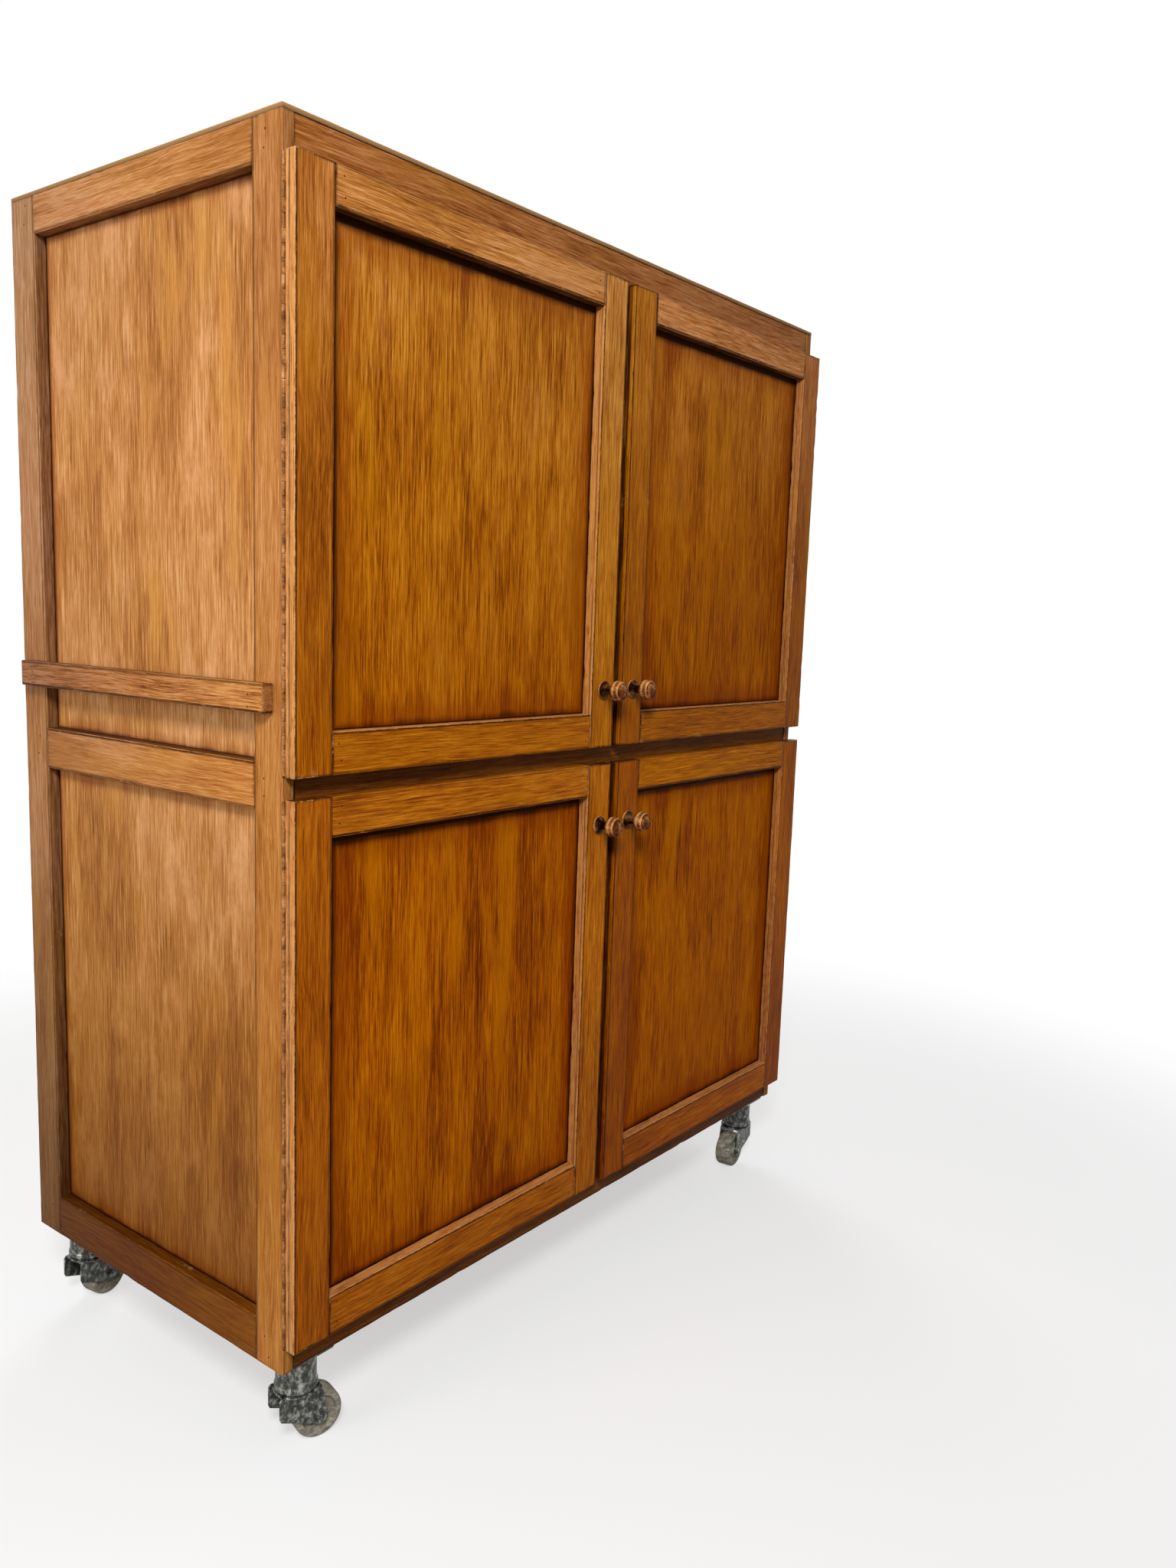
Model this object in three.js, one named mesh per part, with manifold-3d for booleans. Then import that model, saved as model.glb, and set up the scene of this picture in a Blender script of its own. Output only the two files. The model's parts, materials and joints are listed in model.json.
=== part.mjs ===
// Bakers cabinet: a tall four-door wooden cupboard on swivel casters.
// Millimetres. The finished group stands on z = 0 with +Z up and its doors towards -Y.
import * as THREE from 'three';
import { mergeVertices } from 'three/addons/utils/BufferGeometryUtils.js';
import Module from 'manifold-3d';

const wasm = await Module();
wasm.setup();

// ---------------------------------------------------------------- driving dimensions

// Carcass, measured from its left side, its front edges and its underside.
const WIDTH = 1390;
const DEPTH = 666;
const HEIGHT = 1700;
const BOARD = 19; // solid-wood board thickness, sides and doors alike
const FIT = 0.3; // gap left between pieces that touch

// Side frames: flat boards over a plywood sheet.
const FRONT_STILE = 60;
const BACK_STILE = 66;
const SIDE_TOP_RAIL = 56;
const SIDE_MID_RAIL_LOW = 811;
const SIDE_MID_RAIL_HIGH = 876;
const SIDE_BOTTOM_RAIL = 67;
const SIDE_SHEET = 12;
const TOP_SHEET = 6;
const BACK_SHEET = 6;

// Hand rails nailed across the side frames.
const CLEAT_HEIGHT = 40;
const CLEAT_LOW = 944;
const CLEAT_FRONT = 17.5;
const CLEAT_BACK = 642;
const CLEAT_END_ROUND = 7;

// Front rails, set a little behind the side frames' front edges.
const RAIL_SETBACK = 2;
const FRONT_TOP_RAIL = 85;
const FRONT_MID_RAIL_LOW = 808;
const FRONT_MID_RAIL_HIGH = 882;
const FRONT_BOTTOM_RAIL = 70;
const CENTRE_STILE = 64; // upright board behind the gap between the doors

// Inside: a deck, a fixed shelf behind the middle rail and one more shelf in each half.
const DECK = 18;
const LOWER_SHELF_TOP = 450;
const UPPER_SHELF_TOP = 1298;
const SHELF_SETBACK = 60;

// Doors: frame boards over a thin plywood panel, lying in front of the carcass.
const DOOR_GAP = 5; // from the side frames' front edges to the doors' back faces
const DOOR_INSET = 1; // from the cabinet's side to the doors' outer edges
const MEETING_LEFT = 698; // the left doors' meeting edges
const MEETING_RIGHT = 719; // the right doors' meeting edges
const DOOR_STILE = 64;
const DOOR_PANEL = 4;
const PANEL_LAP = 40; // how far a panel lies over the back of its frame
const UPPER_DOOR = { low: 860, high: 1644, bottomRail: 59, topRail: 53, knob: 960 };
const LOWER_DOOR = { low: 41, high: 830, bottomRail: 60, topRail: 56, knob: 723 };

// Turned bobbin knobs, on the meeting stiles: base flange, neck and round flattened head,
// as radius and distance from the door.
const KNOB_REACH = 45;
const KNOB_SIDES = 16;
const KNOB_PROFILE = [
  [0, 0], [15, 0], [16, 2.5], [14.5, 5], [9, 7.5], [7, 12], [7.5, 18],
  [12, 22], [16.5, 27], [18, 33], [16, 39], [10.5, 43.5], [0, KNOB_REACH],
];

// Continuous hinges, folded out of thin strip round a pin.
const HINGE_LEAF = 1.2;
const HINGE_LEAF_WIDTH = 16;
const KNUCKLE_RADIUS = 2.2;
const KNUCKLE_COUNT = 11;
const KNUCKLE_SIDES = 8;
const KNUCKLE_SPACE = 0.4;
const PIN_RADIUS = 1;
const PIN_BORE = 1.35;
const HINGE_END_SPACE = 2;

// Swivel casters. Heights in them are measured from the carcass's underside.
const CASTER_HEIGHT = 152;
const CASTER_INSET_X = 61;
const CASTER_INSET_Y = 46;
const CASTER_TURNS = { front_left: -15, front_right: 185, back_left: 10, back_right: 170 };
const PLATE_SIZE = 84;
const PLATE = 4;
const PLATE_HOLE = 4.5;
const PLATE_HOLE_INSET = 11;
const NECK = { radius: 32.5, bore: 29, sides: 20 }; // tube from the plate down to the race
const RACE = { low: -63.3, top: -57 };
const CROWN = { radius: 34, low: -69, top: -64, sides: 20 };
const CROWN_HALF_LENGTH = 32; // of its flat part, from which the legs are bent down
const BOLT_SIDES = 8;
const NUT_SIDES = 6;
const KINGPIN = { radius: 5.5, low: -71, top: -62.8 };
const KINGPIN_HEAD = { radius: 9, low: -74.5, top: -70 };
const KINGPIN_BORE = 6.3;
const FORK_SHEET = 3;
const FORK_HALF_SPACE = 19.5;
const LEG_BACK = -35; // the leg's rear edge, upright down to its knee
const LEG_KNEE = -101;
const LEG_FRONT = 33; // its front edge at the crown's underside
const LEG_END = 12; // radius of its round lower end
const AXLE_RADIUS = 5;
const AXLE_BORE = 5.5;
const AXLE_PAST_LEG = 5;
const AXLE_NUT = { radius: 8.5, thick: 4 };
const TRAIL = 30; // from the kingpin's line to the axle
const WHEEL_RADIUS = 37.5;
const WHEEL_WIDTH = 34;
const WHEEL_SIDES = 24;
const HUB_WIDTH = 38;
const HUB_RADIUS = 13;
const WEB_DISH = 5; // how far the web lies inside the tread's sides
const WEB_SLOPE = 2; // radial run of the steps at hub and tread
const TREAD = 10;
const TREAD_ROUND = 3;
const CUT_PAST = 1; // how far a cutting post runs past what it cuts

// ---------------------------------------------------------------- sizes worked out from them

const TOP_OF_FRAMES = HEIGHT - TOP_SHEET - FIT;
const DOOR_BACK = -DOOR_GAP;
const DOOR_FRONT = DOOR_BACK - BOARD;
const REACH_FRONT = DOOR_FRONT - FIT - KNOB_REACH;
const INSIDE_LEFT = BOARD + SIDE_SHEET + 2 * FIT;
const INSIDE_RIGHT = WIDTH - INSIDE_LEFT;
const RAIL_BACK = RAIL_SETBACK + BOARD;
const BACK_FACE = DEPTH - BACK_SHEET;
const HINGE_AXIS_Y = -DOOR_GAP / 2;
const AXLE_Z = WHEEL_RADIUS - CASTER_HEIGHT;
// Where the leg's sloping rear edge meets its round end, as an angle about the axle.
const KNEE_REACH = Math.hypot(TRAIL - LEG_BACK, LEG_KNEE - AXLE_Z);
const LEG_END_START = Math.PI - Math.atan2(LEG_KNEE - AXLE_Z, TRAIL - LEG_BACK)
  + Math.acos(LEG_END / KNEE_REACH);

// ---------------------------------------------------------------- materials

function finish(colour, roughness, metalness = 0) {
  return new THREE.MeshStandardMaterial({ color: new THREE.Color(colour), roughness, metalness });
}

const sideWood = finish('#b57a4a', 0.55);
const frontWood = finish('#a56a2a', 0.45);
const panelWood = finish('#9a5c1c', 0.45);
const railWood = finish('#5a3416', 0.6);
const insideWood = finish('#c39a68', 0.7);
const knobWood = finish('#b87c45', 0.35);
const hingeMetal = finish('#5b5248', 0.5, 0.9);
const casterMetal = finish('#45474a', 0.45, 0.9);
const tread = finish('#6f6a5f', 0.8);

// ---------------------------------------------------------------- helpers

const cabinet = new THREE.Group();
cabinet.position.set(-WIDTH / 2, -(REACH_FRONT + DEPTH) / 2, CASTER_HEIGHT);

function addPiece(name, geometry, material, parent = cabinet) {
  const piece = new THREE.Mesh(geometry, material);
  piece.name = name;
  parent.add(piece);
  return piece;
}

// A box between two opposite corners.
function block(low, high) {
  const size = high.map((value, axis) => value - low[axis]);
  const box = new THREE.BoxGeometry(...size);
  box.translate(...low.map((value, axis) => value + size[axis] / 2));
  return box;
}

function addBoard(name, material, low, high) {
  return addPiece(name, block(low, high), material);
}

// Joins and cuts work on closed solids that know their shared corners.
function solid(geometry) {
  const bare = geometry.clone();
  bare.deleteAttribute('normal');
  bare.deleteAttribute('uv');
  const merged = mergeVertices(bare, 1e-4);
  return new wasm.Manifold(new wasm.Mesh({
    numProp: 3,
    vertProperties: new Float32Array(merged.attributes.position.array),
    triVerts: new Uint32Array(merged.index.array),
  }));
}

function surface(body) {
  const mesh = body.getMesh();
  const geometry = new THREE.BufferGeometry();
  geometry.setAttribute('position', new THREE.BufferAttribute(mesh.vertProperties, 3));
  geometry.setIndex(new THREE.BufferAttribute(mesh.triVerts, 1));
  geometry.computeVertexNormals();
  return geometry;
}

function joined(geometries) {
  return geometries.map(solid).reduce((whole, next) => whole.add(next));
}

// An upright cylinder about the line x, y, from low to high.
function post(radius, sides, low, high, x = 0, y = 0) {
  const cylinder = new THREE.CylinderGeometry(radius, radius, high - low, sides);
  cylinder.rotateX(Math.PI / 2);
  cylinder.translate(x, y, (low + high) / 2);
  return cylinder;
}

// An outline drawn in y and z, made a sheet from x = left to x = right.
function sideSheet(outline, left, right) {
  const sheet = new THREE.ExtrudeGeometry(outline, {
    depth: right - left,
    bevelEnabled: false,
    curveSegments: 3,
  });
  const across = new THREE.Vector3(0, 1, 0);
  const up = new THREE.Vector3(0, 0, 1);
  const through = new THREE.Vector3(1, 0, 0);
  sheet.applyMatrix4(new THREE.Matrix4().makeBasis(across, up, through));
  sheet.translate(left, 0, 0);
  return sheet;
}

function rectangle(Kind, low, high) {
  const outline = new Kind();
  outline.moveTo(low[0], low[1]);
  outline.lineTo(high[0], low[1]);
  outline.lineTo(high[0], high[1]);
  outline.lineTo(low[0], high[1]);
  outline.closePath();
  return outline;
}

// ---------------------------------------------------------------- carcass

// One side: two stiles and three rails, glued up flat, with two windows over the plywood.
function sideFrame(left) {
  const outline = rectangle(THREE.Shape, [0, 0], [DEPTH, TOP_OF_FRAMES]);
  const windows = [
    [SIDE_BOTTOM_RAIL, SIDE_MID_RAIL_LOW],
    [SIDE_MID_RAIL_HIGH, TOP_OF_FRAMES - SIDE_TOP_RAIL],
  ];
  for (const [low, high] of windows) {
    outline.holes.push(rectangle(THREE.Path, [FRONT_STILE, low], [DEPTH - BACK_STILE, high]));
  }
  return sideSheet(outline, left, left + BOARD);
}

// A hand rail: a plain batten whose back end is rounded over.
function handRail(left) {
  const outline = new THREE.Shape();
  const high = CLEAT_LOW + CLEAT_HEIGHT;
  outline.moveTo(CLEAT_FRONT, CLEAT_LOW);
  outline.lineTo(CLEAT_BACK - CLEAT_END_ROUND, CLEAT_LOW);
  outline.quadraticCurveTo(CLEAT_BACK, CLEAT_LOW, CLEAT_BACK, CLEAT_LOW + CLEAT_END_ROUND);
  outline.lineTo(CLEAT_BACK, high - CLEAT_END_ROUND);
  outline.quadraticCurveTo(CLEAT_BACK, high, CLEAT_BACK - CLEAT_END_ROUND, high);
  outline.lineTo(CLEAT_FRONT, high);
  outline.closePath();
  return sideSheet(outline, left, left + BOARD - FIT);
}

addPiece('left_side_frame', sideFrame(0), sideWood);
addPiece('right_side_frame', sideFrame(WIDTH - BOARD), sideWood);
addPiece('left_hand_rail', handRail(-BOARD), sideWood);
addPiece('right_hand_rail', handRail(WIDTH + FIT), sideWood);

const sheetLow = BOARD + FIT;
const sheetFront = RAIL_BACK + FIT;
const sheetBack = BACK_FACE - FIT;
addBoard('left_side_sheet', sideWood,
  [sheetLow, sheetFront, 0], [sheetLow + SIDE_SHEET, sheetBack, TOP_OF_FRAMES]);
addBoard('right_side_sheet', sideWood,
  [WIDTH - sheetLow - SIDE_SHEET, sheetFront, 0], [WIDTH - sheetLow, sheetBack, TOP_OF_FRAMES]);
addBoard('top_sheet', sideWood, [0, 0, HEIGHT - TOP_SHEET], [WIDTH, DEPTH, HEIGHT]);
addBoard('back_sheet', insideWood,
  [sheetLow, BACK_FACE, 0], [WIDTH - sheetLow, DEPTH, TOP_OF_FRAMES]);

const topRailLow = TOP_OF_FRAMES - FRONT_TOP_RAIL;
addBoard('front_top_rail', frontWood,
  [sheetLow, RAIL_SETBACK, topRailLow], [WIDTH - sheetLow, RAIL_BACK, TOP_OF_FRAMES]);
addBoard('front_bottom_rail', railWood,
  [sheetLow, RAIL_SETBACK, 0], [WIDTH - sheetLow, RAIL_BACK, FRONT_BOTTOM_RAIL]);

// The middle rail and the centre stile cross in a halved joint, the rail in front.
const centre = (MEETING_LEFT + MEETING_RIGHT) / 2;
const stileLeft = centre - CENTRE_STILE / 2;
const stileRight = centre + CENTRE_STILE / 2;
const halfway = (RAIL_SETBACK + RAIL_BACK) / 2;
const middleRail = new THREE.Shape();
middleRail.moveTo(sheetLow, RAIL_SETBACK);
middleRail.lineTo(WIDTH - sheetLow, RAIL_SETBACK);
middleRail.lineTo(WIDTH - sheetLow, RAIL_BACK);
middleRail.lineTo(stileRight + FIT, RAIL_BACK);
middleRail.lineTo(stileRight + FIT, halfway - FIT);
middleRail.lineTo(stileLeft - FIT, halfway - FIT);
middleRail.lineTo(stileLeft - FIT, RAIL_BACK);
middleRail.lineTo(sheetLow, RAIL_BACK);
middleRail.closePath();
const railShape = new THREE.ExtrudeGeometry(middleRail, {
  depth: FRONT_MID_RAIL_HIGH - FRONT_MID_RAIL_LOW,
  bevelEnabled: false,
});
railShape.translate(0, 0, FRONT_MID_RAIL_LOW);
addPiece('front_middle_rail', railShape, railWood);

const centreStile = new THREE.Shape();
centreStile.moveTo(RAIL_SETBACK, FRONT_BOTTOM_RAIL + FIT);
centreStile.lineTo(RAIL_BACK, FRONT_BOTTOM_RAIL + FIT);
centreStile.lineTo(RAIL_BACK, topRailLow - FIT);
centreStile.lineTo(RAIL_SETBACK, topRailLow - FIT);
centreStile.lineTo(RAIL_SETBACK, FRONT_MID_RAIL_HIGH + FIT);
centreStile.lineTo(halfway, FRONT_MID_RAIL_HIGH + FIT);
centreStile.lineTo(halfway, FRONT_MID_RAIL_LOW - FIT);
centreStile.lineTo(RAIL_SETBACK, FRONT_MID_RAIL_LOW - FIT);
centreStile.closePath();
addPiece('centre_stile', sideSheet(centreStile, stileLeft, stileRight), railWood);

const shelves = {
  bottom_deck: { top: DECK, front: sheetFront },
  middle_shelf: { top: FRONT_MID_RAIL_HIGH, front: sheetFront },
  lower_shelf: { top: LOWER_SHELF_TOP, front: SHELF_SETBACK },
  upper_shelf: { top: UPPER_SHELF_TOP, front: SHELF_SETBACK },
};
for (const [name, { top, front }] of Object.entries(shelves)) {
  addBoard(name, insideWood, [INSIDE_LEFT, front, top - DECK], [INSIDE_RIGHT, sheetBack, top]);
}

// ---------------------------------------------------------------- doors

// The profile turned about the knob's axis, which points away from the door.
function knobShape() {
  const knob = new THREE.LatheGeometry(
    KNOB_PROFILE.map(([radius, along]) => new THREE.Vector2(radius, along)), KNOB_SIDES);
  knob.rotateX(Math.PI);
  return knob;
}

function addDoor(name, left, right, size, hingeOnLeft) {
  const stiles = [[left, left + DOOR_STILE], [right - DOOR_STILE, right]];
  if (!hingeOnLeft) stiles.reverse();
  ['hinge_stile', 'meeting_stile'].forEach((part, index) => {
    const [low, high] = stiles[index];
    addBoard(`${name}_${part}`, frontWood,
      [low, DOOR_FRONT, size.low], [high, DOOR_BACK, size.high]);
  });
  const railLeft = left + DOOR_STILE + FIT;
  const railRight = right - DOOR_STILE - FIT;
  addBoard(`${name}_bottom_rail`, frontWood,
    [railLeft, DOOR_FRONT, size.low], [railRight, DOOR_BACK, size.low + size.bottomRail]);
  addBoard(`${name}_top_rail`, frontWood,
    [railLeft, DOOR_FRONT, size.high - size.topRail], [railRight, DOOR_BACK, size.high]);
  const panelFront = DOOR_BACK + FIT;
  addBoard(`${name}_panel`, panelWood,
    [railLeft - PANEL_LAP, panelFront, size.low + size.bottomRail - PANEL_LAP],
    [railRight + PANEL_LAP, panelFront + DOOR_PANEL, size.high - size.topRail + PANEL_LAP]);
  const [meetingLow, meetingHigh] = stiles[1];
  const knob = addPiece(`${name}_knob`, knobShape(), knobWood);
  knob.position.set((meetingLow + meetingHigh) / 2, DOOR_FRONT - FIT, size.knob);
}

// ---------------------------------------------------------------- hinges

// A continuous hinge about the line x = 0, y = 0. Leaves lie towards +x when side is 1.
// The frame leaf carries the pin; the door leaf's knuckles are bored to turn on it.
function hingeLeaves(length, side) {
  const pitch = length / KNUCKLE_COUNT;
  const plateStart = KNUCKLE_RADIUS + FIT;
  const frameFace = DOOR_GAP / 2 - FIT;
  const leaves = [
    { low: frameFace - HINGE_LEAF, high: frameFace, first: 0 },
    { low: -frameFace, high: -frameFace + HINGE_LEAF, first: 1 },
  ];
  return leaves.map(({ low, high, first }) => {
    const strip = (from, to, bottom, top) => {
      const ends = [side * from, side * to].sort((a, b) => a - b);
      return block([ends[0], low, bottom], [ends[1], high, top]);
    };
    const pieces = [strip(plateStart, HINGE_LEAF_WIDTH, 0, length)];
    for (let index = first; index < KNUCKLE_COUNT; index += 2) {
      const bottom = index * pitch + KNUCKLE_SPACE / 2;
      const top = (index + 1) * pitch - KNUCKLE_SPACE / 2;
      pieces.push(post(KNUCKLE_RADIUS, KNUCKLE_SIDES, bottom, top));
      pieces.push(strip(0, plateStart + FIT, bottom, top));
    }
    if (first === 0) {
      pieces.push(post(PIN_RADIUS, KNUCKLE_SIDES, KNUCKLE_SPACE, length - KNUCKLE_SPACE));
      return surface(joined(pieces));
    }
    const bore = post(PIN_BORE, KNUCKLE_SIDES, -CUT_PAST, length + CUT_PAST);
    return surface(joined(pieces).subtract(solid(bore)));
  });
}

function addHinge(name, size, side) {
  const length = size.high - size.low - 2 * HINGE_END_SPACE;
  const [frameLeaf, doorLeaf] = hingeLeaves(length, side);
  const axisX = side > 0 ? 0 : WIDTH;
  for (const [part, leaf] of [['hinge_frame_leaf', frameLeaf], ['hinge_door_leaf', doorLeaf]]) {
    const piece = addPiece(`${name}_${part}`, leaf, hingeMetal);
    piece.position.set(axisX, HINGE_AXIS_Y, size.low + HINGE_END_SPACE);
  }
}

for (const [level, size] of [['upper', UPPER_DOOR], ['lower', LOWER_DOOR]]) {
  addDoor(`${level}_left`, DOOR_INSET, MEETING_LEFT, size, true);
  addDoor(`${level}_right`, MEETING_RIGHT, WIDTH - DOOR_INSET, size, false);
  addHinge(`${level}_left`, size, 1);
  addHinge(`${level}_right`, size, -1);
}

// ---------------------------------------------------------------- casters

// The fixed half: a bolted plate, a neck open at the top, the race that closes it below
// and the riveted kingpin.
function casterPlate() {
  const half = PLATE_SIZE / 2;
  const top = -FIT;
  let body = joined([
    block([-half, -half, top - PLATE], [half, half, top]),
    post(NECK.radius, NECK.sides, RACE.low, top - PLATE),
    post(KINGPIN.radius, BOLT_SIDES, KINGPIN.low, KINGPIN.top),
    post(KINGPIN_HEAD.radius, BOLT_SIDES, KINGPIN_HEAD.low, KINGPIN_HEAD.top),
  ]);
  body = body.subtract(solid(post(NECK.bore, NECK.sides, RACE.top, CUT_PAST)));
  const reach = half - PLATE_HOLE_INSET;
  for (const x of [-reach, reach]) {
    for (const y of [-reach, reach]) {
      const hole = post(PLATE_HOLE, BOLT_SIDES, top - PLATE - CUT_PAST, CUT_PAST, x, y);
      body = body.subtract(solid(hole));
    }
  }
  return surface(body);
}

// The turning half: a round crown with a flat part, two deep legs bent down from it and
// the axle bolt between them.
function casterFork() {
  const leg = new THREE.Shape();
  leg.moveTo(-CROWN_HALF_LENGTH, CROWN.top);
  leg.lineTo(LEG_BACK, CROWN.low);
  leg.lineTo(LEG_BACK, LEG_KNEE);
  leg.absarc(TRAIL, AXLE_Z, LEG_END, LEG_END_START, 2 * Math.PI, false);
  leg.lineTo(LEG_FRONT, CROWN.low);
  leg.lineTo(CROWN_HALF_LENGTH, CROWN.top);
  leg.closePath();
  const along = new THREE.Vector3(1, 0, 0);
  const up = new THREE.Vector3(0, 0, 1);
  const through = new THREE.Vector3(0, -1, 0);
  const legFace = FORK_HALF_SPACE + FORK_SHEET;
  const pieces = [
    post(CROWN.radius, CROWN.sides, CROWN.low, CROWN.top),
    block([-CROWN_HALF_LENGTH, -legFace, CROWN.low], [CROWN_HALF_LENGTH, legFace, CROWN.top]),
  ];
  for (const outer of [legFace, -FORK_HALF_SPACE]) {
    const sheet = new THREE.ExtrudeGeometry(leg, {
      depth: FORK_SHEET,
      bevelEnabled: false,
      curveSegments: 8,
    });
    sheet.applyMatrix4(new THREE.Matrix4().makeBasis(along, up, through));
    sheet.translate(0, outer, 0);
    pieces.push(sheet);
  }
  const axleLength = 2 * (legFace + AXLE_PAST_LEG);
  const axle = new THREE.CylinderGeometry(AXLE_RADIUS, AXLE_RADIUS, axleLength, BOLT_SIDES);
  axle.translate(TRAIL, 0, AXLE_Z);
  pieces.push(axle);
  for (const side of [-1, 1]) {
    const nut = new THREE.CylinderGeometry(
      AXLE_NUT.radius, AXLE_NUT.radius, AXLE_NUT.thick, NUT_SIDES);
    nut.translate(TRAIL, side * (legFace + AXLE_NUT.thick / 2 - FIT / 2), AXLE_Z);
    pieces.push(nut);
  }
  const bore = post(KINGPIN_BORE, BOLT_SIDES, CROWN.low - CUT_PAST, CROWN.top + CUT_PAST);
  return surface(joined(pieces).subtract(solid(bore)));
}

// A wheel with a raised hub, a dished web and a flat tread. It stands on one of its flats.
function casterWheel() {
  const half = WHEEL_WIDTH / 2;
  const hubHalf = HUB_WIDTH / 2;
  const rim = WHEEL_RADIUS / Math.cos(Math.PI / WHEEL_SIDES);
  const web = WHEEL_RADIUS - TREAD;
  const side = [
    [AXLE_BORE, hubHalf], [HUB_RADIUS, hubHalf],
    [HUB_RADIUS + WEB_SLOPE, half - WEB_DISH], [web, half - WEB_DISH],
    [web + WEB_SLOPE, half], [rim - TREAD_ROUND, half], [rim, half - TREAD_ROUND],
  ];
  const far = side.map(([radius, across]) => [radius, -across]);
  const profile = [...far, ...side.reverse(), far[0]];
  const wheel = new THREE.LatheGeometry(
    profile.map(([radius, across]) => new THREE.Vector2(radius, across)), WHEEL_SIDES);
  wheel.rotateY(Math.PI / WHEEL_SIDES);
  return wheel;
}

for (const [corner, turn] of Object.entries(CASTER_TURNS)) {
  const [frontOrBack, leftOrRight] = corner.split('_');
  const place = new THREE.Group();
  place.position.set(
    leftOrRight === 'left' ? CASTER_INSET_X : WIDTH - CASTER_INSET_X,
    frontOrBack === 'front' ? CASTER_INSET_Y : DEPTH - CASTER_INSET_Y,
    0,
  );
  cabinet.add(place);
  addPiece(`caster_${corner}_plate`, casterPlate(), casterMetal, place);
  const swivel = new THREE.Group();
  swivel.rotation.z = THREE.MathUtils.degToRad(turn);
  place.add(swivel);
  addPiece(`caster_${corner}_fork`, casterFork(), casterMetal, swivel);
  const wheel = addPiece(`caster_${corner}_wheel`, casterWheel(), tread, swivel);
  wheel.position.set(TRAIL, 0, AXLE_Z);
}

export default cabinet;
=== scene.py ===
"""Looks of a tall four-door baker's cabinet on swivel casters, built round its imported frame."""

import json
import logging
import math
from dataclasses import dataclass, field, replace
from enum import Enum

import bpy
import numpy as np
from mathutils import Matrix, Vector


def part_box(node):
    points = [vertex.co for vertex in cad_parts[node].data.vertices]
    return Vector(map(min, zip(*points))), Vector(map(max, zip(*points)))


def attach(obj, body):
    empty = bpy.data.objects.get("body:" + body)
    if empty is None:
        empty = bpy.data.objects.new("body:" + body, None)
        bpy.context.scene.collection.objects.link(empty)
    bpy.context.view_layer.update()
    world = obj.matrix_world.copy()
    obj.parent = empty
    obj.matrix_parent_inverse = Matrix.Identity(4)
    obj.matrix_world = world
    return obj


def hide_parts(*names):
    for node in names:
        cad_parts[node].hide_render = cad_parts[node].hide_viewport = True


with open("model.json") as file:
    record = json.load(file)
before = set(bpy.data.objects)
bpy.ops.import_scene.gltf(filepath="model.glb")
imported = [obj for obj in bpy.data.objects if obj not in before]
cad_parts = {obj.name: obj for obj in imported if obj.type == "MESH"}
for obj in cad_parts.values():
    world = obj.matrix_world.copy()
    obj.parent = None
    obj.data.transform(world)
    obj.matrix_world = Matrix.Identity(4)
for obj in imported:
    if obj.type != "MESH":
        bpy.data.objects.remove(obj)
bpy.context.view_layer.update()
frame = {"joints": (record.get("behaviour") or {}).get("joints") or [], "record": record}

log = logging.getLogger("bakers_cabinet")
Array = np.ndarray
Box = tuple[Array, Array]
Band = tuple[float, float]
Colour = tuple[float, float, float, float]
ToneAndLight = tuple[float, float, float]

MM = 0.001
FIT = 0.3 * MM
POLE = 0.01
PLAIN: ToneAndLight = (1.0, 1.0, 1.0)
WHITE: Colour = (1.0, 1.0, 1.0, 1.0)
UP = Vector((0, 0, 1))
FORWARD = Vector((0, -1, 0))
LEVEL = np.eye(3)
DOOR_SEEDS = range(300, 700, 100)


def tone(red: int, green: int, blue: int) -> Colour:
    """Turns a display colour into the linear colour that the shader takes.

    Args:
        red: share of red, 0 to 255.
        green: share of green.
        blue: share of blue.

    Returns:
        The linear colour, with its alpha.
    """
    share = np.array([red, green, blue]) / 255
    linear = np.where(share <= 0.04045, share / 12.92, ((share + 0.055) / 1.055) ** 2.4)
    return (*map(float, linear), 1.0)


# ---------------------------------------------------------------- shader maths


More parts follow.
